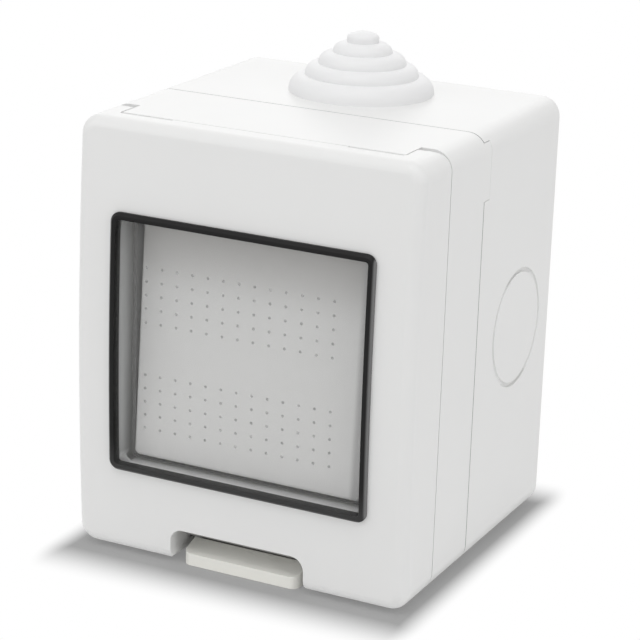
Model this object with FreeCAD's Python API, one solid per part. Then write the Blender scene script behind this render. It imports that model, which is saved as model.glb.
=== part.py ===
import FreeCAD
import Part
import math
import os
from FreeCAD import Vector

# Surface-mounted weatherproof rocker switch, in millimetres.
# Origin at the centre of the back face that lies on the wall.
# X to the right, Y into the wall, Z up, so the front looks along -Y.

# Enclosure outline
WIDTH = 66.2
HEIGHT = 80.0
CORNER = 3.6
BACK_EDGE = 0.8
FRONT_EDGE = 2.3
BULGE = 1.3
LID_FRONT = 61.3

# Planes, as distances from the wall
BOX_DEPTH = 35.3
LID_REAR = 50.3
LID_TOP_REAR = 56.5
NOSE_FRONT = 57.2
SEAM = 0.2
LID_GAP = 0.25

# Walls
BOX_WALL = 2.2
BACK_WALL = 2.4
FRAME_WALL = 2.2
NOSE_WALL = 1.8
LID_WALL = 2.0
SKIRT_WALL = 2.0

# Joint between the box and the frame
TONGUE_WALL = 1.0
TONGUE_REACH = 1.4
GASKET_DEPTH = 1.4
RIM_PLAY = 0.05
LUG_DEPTH = 2.4
LUG_LOW = 27.9
LUG_HIGH = 38.4
LUG_PLAY = 0.1

# Enclosure screws and their bosses
SCREW_INSET_X = 6.5
SCREW_INSET_Z = 10.4
SCREW_X = WIDTH / 2 - SCREW_INSET_X
SCREW_Z = HEIGHT / 2 - SCREW_INSET_Z
BOSS_RADIUS = 4.0
HEAD_BORE = 3.1
HEAD_SEAT_STEP = 6.2
HEAD_SEAT = BOX_DEPTH + HEAD_SEAT_STEP
HEAD_RADIUS = 2.8
HEAD_HEIGHT = 2.2
SHANK_RADIUS = 1.28
SHANK_CLEARANCE = 0.45
PILOT_PLAY = 0.02
SHANK_LENGTH = 17.5
SCREW_TIP = HEAD_SEAT - SHANK_LENGTH
PILOT_EXTRA = 2.0
PILOT_END = SCREW_TIP - PILOT_EXTRA
HEAD_TAPER = 0.72
HEAD_RIM = 0.5
CROSS_REACH = 0.55
CROSS_WIDTH = 0.3
CROSS_DEPTH = 0.5

# Wall fixing slots
SLOT_X = 18.0
SLOT_Z = 26.0
SLOT_RADIUS = 2.1
SLOT_LENGTH = 8.0

# Knock-outs for conduit in both sides and the bottom
KNOCKOUT_RADIUS = 11.2
KNOCKOUT_DEPTH_Y = 16.5
KNOCKOUT_GROOVE = 0.8
KNOCKOUT_OUTER_CUT = 0.4
KNOCKOUT_INNER_CUT = 1.1

# Stepped cable grommet in the top
GROMMET_Y = 16.7
GROMMET_HOLE = 11.0
GROMMET_PLAY = 0.05
GROMMET_LIP = 12.4
GROMMET_LIP_DEPTH = 1.6
GROMMET_BORE = 9.4
GROMMET_BORE_TOP = 2.1
GROMMET_TIP_BORE = 8.4
GROMMET_FOOT_RADIUS = 13.4
GROMMET_FOOT_TOP = 3.1
GROMMET_SECOND_RADIUS = 10.5
GROMMET_SECOND_TOP = 5.2
GROMMET_THIRD_RADIUS = 8.1
GROMMET_THIRD_TOP = 7.3
GROMMET_FOURTH_RADIUS = 5.5
GROMMET_FOURTH_TOP = 9.15
GROMMET_TIP_RADIUS = 2.95
GROMMET_TOP = 11.05
GROMMET_ROUND = 0.7
GROMMET_UPRIGHT = 0.5
GROMMET_SHOULDER = 0.4
GROMMET_WALL = 1.5

# Window in the lid
WINDOW_Z = -0.1
BORDER_X = 7.5
BORDER_Z = 16.05
RING_HALF_X = WIDTH / 2 - BORDER_X
RING_HALF_Z = HEIGHT / 2 - BORDER_Z
RING_CORNER = 1.8
RING_WIDTH = 1.25
RING_PROUD = 1.0
RING_WEB = 0.6
RING_WEB_REACH = 0.9
RING_GROOVE = 0.3
RING_EDGE = 0.3
MEMBRANE_THICKNESS = 0.7

# Raised grip dots on the membrane
DOT_COLUMNS = 13
DOT_ROWS = 5
DOT_PITCH_X = 3.04
DOT_PITCH_Z = 2.5
DOT_FIRST_ROW = 4.85
DOT_RADIUS = 0.42
DOT_TIP = 0.16
DOT_HEIGHT = 0.28
DOT_ROOT = 0.2

# Collar seal behind the window
SEAL_STEP_X = 1.3
SEAL_STEP_Z = 0.65
SEAL_FRONT_X = RING_HALF_X - SEAL_STEP_X
SEAL_FRONT_Z = RING_HALF_Z - SEAL_STEP_Z
SEAL_DRAFT = 0.25
SEAL_WIDTH = 2.2
SEAL_GAP = 0.1
SEAL_LIP_PLAY = 0.05
SEAL_LIP_REACH = 1.1
APERTURE_STEP_X = 2.2
APERTURE_STEP_Z = 0.95
APERTURE_X = RING_HALF_X - APERTURE_STEP_X
APERTURE_Z = RING_HALF_Z - APERTURE_STEP_Z
APERTURE_CORNER = 1.2
APERTURE_WALL = 1.5
TUBE_REAR = 50.0

# Lid hinge
HINGE_DROP = 1.9
EAR_INSET = 5.6
EAR_X = WIDTH / 2 - EAR_INSET
EAR_GAP = 0.25
CHEEK_WIDTH = 1.7
CHEEK_DROP = 5.0
CHEEK_BOTTOM = HEIGHT / 2 - CHEEK_DROP
CHEEK_FRONT = 58.0
NOTCH_DROP = 6.3
NOTCH_FLOOR = HEIGHT / 2 - NOTCH_DROP
TRUNNION_RADIUS = 1.1
TRUNNION_LENGTH = 2.5
TRUNNION_PLAY = 0.06
HINGE_BOSS_WIDTH = 4.0
HINGE_BOSS_DROP = 8.3
HINGE_BOSS_X = EAR_X - HINGE_BOSS_WIDTH
HINGE_BOSS_LOW = HEIGHT / 2 - HINGE_BOSS_DROP
SLOT_IN = 10.7
SLOT_OUT = 0.3
SLOT_IN_X = EAR_X - SLOT_IN
SLOT_OUT_X = EAR_X - SLOT_OUT
SLOT_EXTRA = 0.55

# Finger pocket and catch in the lid
POCKET_HALF = 13.4
POCKET_HIGH = 6.4
POCKET_ROOF = HEIGHT / 2 - POCKET_HIGH
POCKET_WALL = 1.2
POCKET_CORNER = 2.5
POCKET_REAR = 55.4
POCKET_FLARE = 1.0
CATCH_INSET = 3.1
CATCH_LOW = HEIGHT / 2 - CATCH_INSET
RECESS_PLAY = 0.4
RECESS_WALL = 1.5

# Latch tab
TAB_SIDE_GAP = 1.85
TAB_HALF = POCKET_HALF - TAB_SIDE_GAP
TAB_FRONT = 60.2
TAB_PROUD = 0.6
TAB_BOTTOM = HEIGHT / 2 + TAB_PROUD
TAB_LIP_INSET = 1.65
TAB_LIP = HEIGHT / 2 - TAB_LIP_INSET
CATCH_PLAY = 0.15
TAB_CREST = CATCH_LOW + CATCH_PLAY
TAB_CREST_Y = 55.6
TAB_TOP_INSET = 1.8
TAB_TOP = HEIGHT / 2 - TAB_TOP_INSET
TAB_CORNER = 1.6
LATCH_Y = 51.4
LATCH_INSET = 1.1
LATCH_Z = LATCH_INSET - HEIGHT / 2
LATCH_BARREL = 1.1
LATCH_PIN = 0.8
LATCH_PIN_PLAY = 0.06
LATCH_CHEEK_GAP = 0.15
LATCH_CHEEK = 1.4
ARM_HALF = 3.5
ARM_END = 46.2
ARM_TOP_INSET = 1.9
ARM_TOP = HEIGHT / 2 - ARM_TOP_INSET
ARM_BOTTOM_INSET = 0.3
ARM_BOTTOM = HEIGHT / 2 - ARM_BOTTOM_INSET
ARM_PLAY = 0.5
ARM_LIFT = 1.2
LATCH_SPRING_Y = 47.6
LATCH_SPRING_LENGTH = 4.1
LATCH_SPRING_TOP = ARM_TOP - LATCH_SPRING_LENGTH
LATCH_SPRING_RADIUS = 1.45
LATCH_SPRING_TURNS = 4
TOWER_WALL = 1.0

# Rocker and its carrier
ROCKER_AXIS_Y = 52.0
ROCKER_TILT = 3.5
KEY_GAP = 0.7
KEY_HALF_X = APERTURE_X - KEY_GAP
KEY_HALF_Z = APERTURE_Z - KEY_GAP
KEY_FRONT = 57.6
KEY_REAR = 53.4
KEY_WALL = 1.4
KEY_FACE = 1.6
KEY_CORNER = 1.0
KEY_EDGE = 0.6
CARRIER_HALF_X = 9.3
CARRIER_HALF_Z = 8.5
CARRIER_PLATE = 2.0
CARRIER_EYE = 2.4
CARRIER_CHEEK = 2.0
CARRIER_PIN = 1.5
CARRIER_PIN_PLAY = 0.05
STEM_RADIUS = 3.0
STEM_REAR = 45.5
STEM_BORE_END = 52.4
CLIP_HALF = 4.0
CLIP_WALL = 1.2
CLIP_HOOK = 0.6
CLIP_REAR = 53.2
CLIP_PLAY = 0.1

# Plunger and spring
PLUNGER_RADIUS = 1.7
PLUNGER_PLAY = 0.08
PLUNGER_TIP = 39.0
PLUNGER_HEAD = 48.5
SPRING_WIRE = 0.2
SPRING_RADIUS = 1.35
SPRING_TURNS = 4

# Switch mechanism
COVER_FRONT = 50.0
COVER_THICK = 1.8
COVER_INSET = 8.1
COVER_HALF_X = WIDTH / 2 - COVER_INSET
COVER_BOSS_GAP = 0.6
COVER_HALF_Z = SCREW_Z - BOSS_RADIUS - COVER_BOSS_GAP
COVER_EAR_HALF = 7.0
COVER_OPEN_X = 9.5
COVER_OPEN_Z = 10.5
LUG_GAP = 0.25
BEARING_WIDTH = 2.0
BEARING_HALF = 3.2
BEARING_TOP = 54.6
MODULE_SCREW_INSET = 10.0
MODULE_SCREW_Z = HEIGHT / 2 - MODULE_SCREW_INSET
COVER_EAR_END = 2.6
COVER_EAR_REACH = MODULE_SCREW_Z + COVER_EAR_END
MODULE_BOSS = 3.2
MODULE_PILOT_END = 54.5
MODULE_TIP = 53.8
MODULE_SHANK = 1.05
MODULE_HEAD = 2.2
MODULE_HEAD_HEIGHT = 1.6
BASE_HALF = 19.5
BASE_REAR = 27.4
BASE_FLOOR = 35.5
BASE_CORNER = 1.5
CHAMBER_X = 9.5
CHAMBER_Z = 12.0
CORE_WALL = 1.6
COVER_SCREW = 15.6
COVER_SCREW_HEAD = 2.0
COVER_SCREW_HEAD_HEIGHT = 1.3
COVER_SCREW_SHANK = 1.1
COVER_SCREW_TIP = 41.0

# Contacts and terminals
BLADE_Y = 38.15
BLADE_THICK = 0.8
BLADE_HALF_X = 3.0
BLADE_HALF_Z = 8.0
BLADE_BEAD = 0.8
BLADE_BEAD_PLAY = 0.05
BLADE_TILT = 7.0
RIVET_Z = 6.8
RIVET_RADIUS = 1.2
RIVET_HEIGHT = 0.4
STRIP = 0.8
STRIP_HALF = 2.5
CRADLE_HALF = 1.6
CRADLE_TOP = 37.85
PAD_IN = 4.6
RISER_OUT = 10.4
TAB_OUT = 17.6
REAR_TAB_HALF = 3.3
REAR_TAB_Y = 30.0
REAR_TAB_THICK = 1.2
SLOT_PLAY = 0.1
TERMINAL_AT = 14.0
CLAMP_HALF = 3.0
CLAMP_THICK = 1.0
TERMINAL_SCREW = 1.45
TERMINAL_HEAD = 2.6
TERMINAL_HEAD_HEIGHT = 1.7
TERMINAL_TIP = 34.2
TERMINAL_HOLE_PLAY = 0.03

HINGE_Y = LID_REAR - HINGE_DROP
HINGE_Z = HEIGHT / 2 - HINGE_DROP
HINGE_AT = (-(LID_REAR + HINGE_DROP), HINGE_Z)
TOP_EDGE_Y = LID_TOP_REAR - LID_REAR - HINGE_DROP
LID_EDGE_REACH = math.hypot(TOP_EDGE_Y, HINGE_DROP)
NOSE_HALF_X = WIDTH / 2 - SKIRT_WALL - LID_GAP
NOSE_HALF_Z = HEIGHT / 2 - SKIRT_WALL - LID_GAP
FRAME_FRONT = LID_REAR - LID_GAP
FAR = 70.0
BEYOND = 5.0
ROUND_SIDES = 12
COIL_RUNS = 12
RING_SIDES = 36
GROMMET_STEPS = ((GROMMET_FOOT_RADIUS, GROMMET_FOOT_TOP), (GROMMET_SECOND_RADIUS, GROMMET_SECOND_TOP),
                 (GROMMET_THIRD_RADIUS, GROMMET_THIRD_TOP), (GROMMET_FOURTH_RADIUS, GROMMET_FOURTH_TOP))


def box(x_low, x_high, y_low, y_high, z_low, z_high):
    """Block between two corners."""
    size = (x_high - x_low, y_high - y_low, z_high - z_low)
    return Part.makeBox(*size, Vector(x_low, y_low, z_low))


def slab(half_x, half_z, radius, near, far, centre_z=0.0, straight=False):
    """Rectangle with round or straight-cut corners, between two distances from the wall."""
    inner_x = half_x - radius
    inner_z = half_z - radius
    diagonal = radius * math.sqrt(0.5)
    corners = ((1, 1), (-1, 1), (-1, -1), (1, -1))
    edges = []
    points = []
    for sign_x, sign_z in corners:
        centre = Vector(sign_x * inner_x, -near, centre_z + sign_z * inner_z)
        on_side = centre + Vector(sign_x * radius, 0, 0)
        middle = centre + Vector(sign_x * diagonal, 0, sign_z * diagonal)
        on_end = centre + Vector(0, 0, sign_z * radius)
        start, end = (on_side, on_end) if sign_x == sign_z else (on_end, on_side)
        edges.append(Part.makeLine(start, end) if straight else Part.Arc(start, middle, end).toShape())
        points.append((start, end))
    for index in range(len(points)):
        following = points[(index + 1) % len(points)]
        edges.append(Part.makeLine(points[index][1], following[0]))
    face = Part.Face(Part.Wire(Part.__sortEdges__(edges)))
    return face.extrude(Vector(0, near - far, 0))


def rod(radius, start, end):
    """Cylinder between two points."""
    direction = Vector(*end) - Vector(*start)
    return Part.makeCylinder(radius, direction.Length, Vector(*start), direction)


def post(radius, start, end, sides=ROUND_SIDES):
    """Many-sided column between two points, its corners at the radius."""
    axis = Vector(*end) - Vector(*start)
    across = Vector(1, 0, 0) if abs(axis.x) < abs(axis.y) + abs(axis.z) else Vector(0, 0, 1)
    beside = axis.cross(across).normalize()
    corners = []
    for corner in range(sides):
        angle = 2 * math.pi * (corner + 0.5) / sides
        corners.append(Vector(*start) + across * (radius * math.cos(angle)) + beside * (radius * math.sin(angle)))
    corners.append(corners[0])
    return Part.Face(Part.makePolygon(corners)).extrude(axis)


def prism(points, x_low, x_high):
    """Profile of (y, z) points, run along X."""
    outline = [Vector(x_low, y, z) for y, z in points]
    outline.append(outline[0])
    return Part.Face(Part.makePolygon(outline)).extrude(Vector(x_high - x_low, 0, 0))


def both_sides(shape):
    """A shape and its mirror image across the middle plane."""
    return [shape, shape.mirror(Vector(0, 0, 0), Vector(1, 0, 0))]


def edges_where(shape, test):
    """Edges whose bounding box passes a test."""
    return [edge for edge in shape.Edges if test(edge.BoundBox)]


def behind_front(offset):
    """All of the space behind the bulged front surface, moved out by an offset."""
    half = HEIGHT / 2
    radius = (half * half + BULGE * BULGE) / (2 * BULGE)
    centre = radius - (LID_FRONT + BULGE)
    reach = half + BEYOND
    surface = radius + offset
    edge_y = centre - math.sqrt(surface * surface - reach * reach)
    low = Vector(-FAR, edge_y, -reach)
    crown = Vector(-FAR, centre - surface, 0)
    high = Vector(-FAR, edge_y, reach)
    back_high = Vector(-FAR, 0, reach)
    back_low = Vector(-FAR, 0, -reach)
    edges = [Part.Arc(low, crown, high).toShape()]
    edges.append(Part.makeLine(high, back_high))
    edges.append(Part.makeLine(back_high, back_low))
    edges.append(Part.makeLine(back_low, low))
    return Part.Face(Part.Wire(edges)).extrude(Vector(2 * FAR, 0, 0))


def screw(at, head_radius, head_height, shank_radius, tip, towards):
    """Pan-head screw along Y with a cross recess, its head seated at a point."""
    x, y, z = at
    top = y - towards * head_height
    crown = head_radius * HEAD_TAPER
    rim = head_height * HEAD_RIM
    shoulder = y - towards * rim
    head = post(head_radius, at, (x, shoulder, z))
    foot = outline(head_radius, (x, shoulder, z))
    head = head.fuse(Part.makeLoft([foot, outline(crown, (x, top, z))], True, True))
    shank = post(shank_radius, at, (x, tip, z))
    arm = head_radius * CROSS_REACH
    slot = arm * CROSS_WIDTH
    floor = top + towards * head_height * CROSS_DEPTH
    low, high = min(top, floor), max(top, floor)
    cross = box(x - arm, x + arm, low, high, z - slot, z + slot)
    cross = cross.fuse(box(x - slot, x + slot, low, high, z - arm, z + arm))
    return head.fuse(shank).cut(cross).removeSplitter()


def outline(radius, at):
    """Closed outline of a post that runs along Y."""
    corners = []
    for corner in range(ROUND_SIDES):
        angle = 2 * math.pi * (corner + 0.5) / ROUND_SIDES
        corners.append(Vector(*at) + Vector(radius * math.cos(angle), 0, radius * math.sin(angle)))
    corners.append(corners[0])
    return Part.makePolygon(corners)


def rocked(shape, at_y, angle):
    """A shape turned about an axis along X at the height of the window's centre."""
    turned = shape.copy()
    turned.rotate(Vector(0, -at_y, WINDOW_Z), Vector(1, 0, 0), angle)
    return turned


def coil(radius, wire, turns, length):
    """Compression spring along Z from the origin, its square wire bent in short straight runs."""
    free = length - 2 * wire
    steps = turns * COIL_RUNS
    sections = []
    for step in range(steps + 1):
        angle = 2 * math.pi * step / COIL_RUNS
        outward = Vector(math.cos(angle), math.sin(angle), 0)
        centre = outward * radius + Vector(0, 0, wire + free * step / steps)
        corners = [centre + outward * wire, centre + Vector(0, 0, wire), centre - outward * wire,
                   centre - Vector(0, 0, wire)]
        corners.append(corners[0])
        sections.append(Part.makePolygon(corners))
    return Part.makeLoft(sections, True, True)


def rear_box():
    """Back half of the enclosure: open shell with bosses, slots and knock-outs."""
    half_x = WIDTH / 2
    half_z = HEIGHT / 2
    rim = BOX_DEPTH - SEAM / 2
    body = slab(half_x, half_z, CORNER, 0, rim)
    body = body.makeChamfer(BACK_EDGE, edges_where(body, lambda b: b.YMin > -1e-6))
    inner_radius = CORNER - BOX_WALL
    inner = (half_x - BOX_WALL, half_z - BOX_WALL)
    outer_tongue = (inner[0] + TONGUE_WALL, inner[1] + TONGUE_WALL)
    tongue = slab(*outer_tongue, inner_radius + TONGUE_WALL, rim - 1, BOX_DEPTH + TONGUE_REACH, straight=True)
    for side in both_sides(box(outer_tongue[0], half_x, -rim, -(BOX_DEPTH - LUG_DEPTH), LUG_LOW, LUG_HIGH)):
        body = body.cut(side)
    body = body.fuse(tongue)
    body = body.cut(slab(*inner, inner_radius, BACK_WALL, FAR, straight=True))
    for x in (-SCREW_X, SCREW_X):
        for z in (-SCREW_Z, SCREW_Z):
            boss = post(BOSS_RADIUS, (x, -BACK_WALL / 2, z), (x, -BOX_DEPTH, z))
            body = body.fuse(boss)
            body = body.cut(post(SHANK_RADIUS + PILOT_PLAY, (x, -PILOT_END, z), (x, -FAR, z)))
    for x in (-SLOT_X, SLOT_X):
        for z in (-SLOT_Z, SLOT_Z):
            reach = SLOT_LENGTH / 2 - SLOT_RADIUS
            cutter = box(x - reach, x + reach, -BACK_WALL - 1, 1, z - SLOT_RADIUS, z + SLOT_RADIUS)
            for end in (x - reach, x + reach):
                cutter = cutter.fuse(rod(SLOT_RADIUS, (end, -BACK_WALL - 1, z), (end, 1, z)))
            body = body.cut(cutter)
    body = body.cut(rod(GROMMET_HOLE, (0, -GROMMET_Y, half_z - BOX_WALL - 1), (0, -GROMMET_Y, half_z + 1)))
    for groove in knockout_grooves():
        body = body.cut(groove)
    return body.removeSplitter()


def knockout_grooves():
    """Ring grooves, outside and inside, that leave a thin web round each knock-out."""
    outer_radius = KNOCKOUT_RADIUS
    inner_radius = KNOCKOUT_RADIUS - KNOCKOUT_GROOVE
    centre_y = -KNOCKOUT_DEPTH_Y
    grooves = []
    walls = (((1, 0), WIDTH / 2), ((-1, 0), WIDTH / 2), ((0, -1), HEIGHT / 2))
    for (sign_x, sign_z), wall in walls:
        spans = ((wall - KNOCKOUT_OUTER_CUT, wall + 1, RING_SIDES),
                 (wall - BOX_WALL - 1, wall - BOX_WALL + KNOCKOUT_INNER_CUT, ROUND_SIDES))
        for low, high, sides in spans:
            start = (sign_x * low, centre_y, sign_z * low)
            end = (sign_x * high, centre_y, sign_z * high)
            grooves.append(post(outer_radius, start, end, sides).cut(post(inner_radius, start, end, sides)))
    return grooves


def cable_grommet():
    """Soft stepped cone, closed at the tip, to be cut to the cable's size."""
    top = HEIGHT / 2
    under = -BOX_WALL
    neck = GROMMET_HOLE - GROMMET_PLAY
    bottom = under - GROMMET_LIP_DEPTH
    edges = []
    here = Vector(GROMMET_BORE, 0, bottom)

    def line_to(radius, z):
        nonlocal here
        there = Vector(radius, 0, z)
        edges.append(Part.makeLine(here, there))
        here = there

    line_to(GROMMET_LIP - GROMMET_ROUND, bottom)
    line_to(GROMMET_LIP, bottom + GROMMET_ROUND)
    line_to(GROMMET_LIP, under)
    line_to(neck, under)
    line_to(neck, 0)
    radii = [step[0] for step in GROMMET_STEPS] + [GROMMET_TIP_RADIUS]
    line_to(radii[0], 0)
    foot = 0
    for index, (radius, height) in enumerate(GROMMET_STEPS):
        rise = height - foot
        tread = radius - radii[index + 1]
        line_to(radius, foot + rise * GROMMET_UPRIGHT)
        line_to(radius - tread * GROMMET_SHOULDER, height - rise * (1 - GROMMET_UPRIGHT) * GROMMET_SHOULDER)
        line_to(radii[index + 1], height)
        foot = height
    line_to(GROMMET_TIP_RADIUS, GROMMET_TOP - GROMMET_ROUND)
    line_to(GROMMET_TIP_RADIUS - GROMMET_ROUND, GROMMET_TOP)
    line_to(0, GROMMET_TOP)
    roof = GROMMET_TOP - GROMMET_WALL
    line_to(0, roof)
    line_to(GROMMET_TIP_RADIUS - GROMMET_WALL, roof)
    line_to(GROMMET_TIP_RADIUS - GROMMET_WALL, GROMMET_TIP_BORE)
    line_to(GROMMET_BORE, GROMMET_BORE_TOP)
    line_to(GROMMET_BORE, bottom)
    profile = Part.Face(Part.Wire(edges))
    solid = profile.revolve(Vector(0, 0, 0), Vector(0, 0, 1), 360)
    solid.translate(Vector(0, -GROMMET_Y, top))
    return solid


def box_gasket():
    """Rubber cord ring squeezed between the box's tongue and the frame's rabbet."""
    outer_x = WIDTH / 2 - BOX_WALL + TONGUE_WALL
    outer_z = HEIGHT / 2 - BOX_WALL + TONGUE_WALL
    radius = CORNER - BOX_WALL + TONGUE_WALL
    near = BOX_DEPTH + TONGUE_REACH
    far = near + GASKET_DEPTH
    ring = slab(outer_x, outer_z, radius, near, far, straight=True)
    inner = TONGUE_WALL
    return ring.cut(slab(outer_x - inner, outer_z - inner, radius - inner, near - 1, far + 1, straight=True))


def frame_outside():
    """Outer form of the middle frame with its stepped nose."""
    half_x = WIDTH / 2
    half_z = HEIGHT / 2
    rear = BOX_DEPTH + SEAM / 2
    body = slab(half_x, half_z, CORNER, rear, FRAME_FRONT)
    nose = slab(NOSE_HALF_X, NOSE_HALF_Z, CORNER - SKIRT_WALL, FRAME_FRONT - 1, NOSE_FRONT, straight=True)
    body = body.fuse(nose)
    bridge = rod(LID_EDGE_REACH - LID_GAP, (-(EAR_X - EAR_GAP), *HINGE_AT), (EAR_X - EAR_GAP, *HINGE_AT))
    bridge = bridge.fuse(box(-(EAR_X - EAR_GAP), EAR_X - EAR_GAP, HINGE_AT[0], -FRAME_FRONT + 1, HINGE_BOSS_LOW, half_z))
    limit = box(-half_x, half_x, -FAR, -FRAME_FRONT + 1, HINGE_BOSS_LOW, half_z)
    body = body.fuse(bridge.common(limit))
    lug_side = half_x - BOX_WALL + TONGUE_WALL + RIM_PLAY
    lug_end = BOX_DEPTH - LUG_DEPTH + LUG_PLAY
    outside = slab(half_x, half_z, CORNER, lug_end, rear + 1)
    for lug in both_sides(box(lug_side, half_x, -rear - 1, -lug_end, LUG_LOW + LUG_PLAY, LUG_HIGH - LUG_PLAY)):
        body = body.fuse(lug.common(outside))
    return body


def frame_hollow():
    """Space inside the middle frame, less what carries the hinge, latch and screws."""
    half_x = WIDTH / 2
    half_z = HEIGHT / 2
    rear = BOX_DEPTH + SEAM / 2
    shoulder = FRAME_FRONT - FRAME_WALL
    wide = slab(half_x - FRAME_WALL, half_z - FRAME_WALL, CORNER - FRAME_WALL, rear - BEYOND, shoulder, straight=True)
    narrow_x = NOSE_HALF_X - SKIRT_WALL
    narrow_z = NOSE_HALF_Z - SKIRT_WALL
    narrow = slab(narrow_x, narrow_z, 0.5, rear - BEYOND, NOSE_FRONT - NOSE_WALL, straight=True)
    for corner in both_sides(box(HINGE_BOSS_X, FAR, -FAR, -shoulder, HINGE_BOSS_LOW, FAR)):
        narrow = narrow.cut(corner)
    tube = slab(APERTURE_X + APERTURE_WALL, APERTURE_Z + APERTURE_WALL, APERTURE_CORNER + APERTURE_WALL,
                TUBE_REAR, FAR, WINDOW_Z)
    recess_half = POCKET_HALF + POCKET_WALL + RECESS_PLAY + RECESS_WALL
    recess_rear = POCKET_REAR - POCKET_WALL - RECESS_PLAY - RECESS_WALL
    recess_top = POCKET_ROOF - POCKET_WALL - RECESS_PLAY - RECESS_WALL
    block = box(-recess_half, recess_half, -FAR, -recess_rear, -FAR, -recess_top)
    narrow = narrow.cut(tube).cut(block)
    hollow = wide.fuse(narrow)
    keep = []
    for x in (-SCREW_X, SCREW_X):
        for z in (-SCREW_Z, SCREW_Z):
            keep.append(post(BOSS_RADIUS, (x, -BOX_DEPTH, z), (x, -FAR, z)))
    for z in (WINDOW_Z - MODULE_SCREW_Z, WINDOW_Z + MODULE_SCREW_Z):
        keep.append(post(MODULE_BOSS, (0, -TUBE_REAR, z), (0, -FAR, z)))
    keep += latch_seat()
    for shape in keep:
        hollow = hollow.cut(shape)
    return hollow


def latch_seat():
    """Block over the latch's rear arm and the tower that holds its spring."""
    ceiling = ARM_TOP - ARM_LIFT
    half = ARM_HALF + ARM_PLAY + 1.6
    block = box(-half, half, -FAR, -(ARM_END - ARM_PLAY - 1.6), -FAR, -(ceiling - 1.3))
    radius = LATCH_SPRING_RADIUS + SPRING_WIRE + 0.25 + TOWER_WALL
    tower = post(radius, (0, -LATCH_SPRING_Y, -FAR), (0, -LATCH_SPRING_Y, -(LATCH_SPRING_TOP - TOWER_WALL)))
    forward = box(-FAR, FAR, -FAR, -(FRAME_FRONT + 2.0), -FAR, FAR)
    return [block.cut(forward), tower]


def front_frame():
    """Middle frame that closes the box, carries the module and hinges the lid."""
    body = frame_outside().cut(frame_hollow())
    body = body.cut(slab(APERTURE_X, APERTURE_Z, APERTURE_CORNER, TUBE_REAR - 1, FAR, WINDOW_Z))
    inner_x = WIDTH / 2 - BOX_WALL
    inner_z = HEIGHT / 2 - BOX_WALL
    side = TONGUE_WALL + RIM_PLAY
    rabbet_end = BOX_DEPTH + TONGUE_REACH + GASKET_DEPTH
    rabbet = slab(inner_x + side, inner_z + side, CORNER - BOX_WALL + side, BOX_DEPTH - LUG_DEPTH - 1, rabbet_end,
                  straight=True)
    for x in (-SCREW_X, SCREW_X):
        for z in (-SCREW_Z, SCREW_Z):
            rabbet = rabbet.cut(post(BOSS_RADIUS, (x, 0, z), (x, -FAR, z)))
    body = body.cut(rabbet.cut(slab(inner_x - 3, inner_z - 3, 1, 0, FAR, straight=True)))
    body = body.cut(box(-FAR, FAR, -BOX_DEPTH, 0, -SCREW_Z - BOSS_RADIUS, -SCREW_Z + BOSS_RADIUS).common(
        slab(inner_x, inner_z, 1, 0, FAR, straight=True)))
    body = body.cut(box(-FAR, FAR, -BOX_DEPTH, 0, SCREW_Z - BOSS_RADIUS, SCREW_Z + BOSS_RADIUS).common(
        slab(inner_x, inner_z, 1, 0, FAR, straight=True)))
    for x in (-SCREW_X, SCREW_X):
        for z in (-SCREW_Z, SCREW_Z):
            body = body.cut(post(HEAD_BORE, (x, -HEAD_SEAT, z), (x, -FAR, z)))
            body = body.cut(post(SHANK_RADIUS + SHANK_CLEARANCE, (x, 0, z), (x, -FAR, z)))
    for z in (WINDOW_Z - MODULE_SCREW_Z, WINDOW_Z + MODULE_SCREW_Z):
        body = body.cut(post(MODULE_SHANK + PILOT_PLAY, (0, -TUBE_REAR + 1, z), (0, -MODULE_PILOT_END, z)))
    for notch in both_sides(box(EAR_X - EAR_GAP, FAR, -FAR, -FRAME_FRONT, NOTCH_FLOOR, FAR)):
        body = body.cut(notch)
    for sign in (-1, 1):
        start = (sign * (EAR_X + 1), *HINGE_AT)
        end = (sign * (EAR_X - TRUNNION_LENGTH - 0.3), *HINGE_AT)
        body = body.cut(rod(TRUNNION_RADIUS + TRUNNION_PLAY, start, end))
    return latch_cuts(body).removeSplitter()


def latch_cuts(body):
    """Recess for the lid's pocket, cheeks for the latch pins and room for its arm."""
    half = POCKET_HALF + POCKET_WALL + RECESS_PLAY
    rear = POCKET_REAR - POCKET_WALL - RECESS_PLAY
    roof = POCKET_ROOF - POCKET_WALL - RECESS_PLAY
    body = body.cut(box(-half, half, -FAR, -rear, -FAR, -roof))
    inner = TAB_HALF + LATCH_CHEEK_GAP
    cheek = box(inner, inner + LATCH_CHEEK, -(LATCH_Y + 1.7), -FRAME_FRONT + 1, -HEIGHT / 2, -NOSE_HALF_Z + 1)
    for shape in both_sides(cheek):
        body = body.fuse(shape)
    reach = inner + LATCH_CHEEK + 1
    body = body.cut(rod(LATCH_PIN + LATCH_PIN_PLAY, (-reach, -LATCH_Y, LATCH_Z), (reach, -LATCH_Y, LATCH_Z)))
    arm_half = ARM_HALF + ARM_PLAY
    ceiling = ARM_TOP - ARM_LIFT
    body = body.cut(box(-arm_half, arm_half, -FRAME_FRONT - 1, -(ARM_END - ARM_PLAY), -FAR, -ceiling))
    bore = LATCH_SPRING_RADIUS + SPRING_WIRE + 0.25
    return body.cut(post(bore, (0, -LATCH_SPRING_Y, -FAR), (0, -LATCH_SPRING_Y, -LATCH_SPRING_TOP)))


def frame_screws():
    """Four screws that hold the frame to the box, reached with the lid open."""
    screws = []
    for x in (-SCREW_X, SCREW_X):
        for z in (-SCREW_Z, SCREW_Z):
            screws.append(screw((x, -HEAD_SEAT, z), HEAD_RADIUS, HEAD_HEIGHT, SHANK_RADIUS, -SCREW_TIP, 1))
    return Part.makeCompound(screws)


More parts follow.
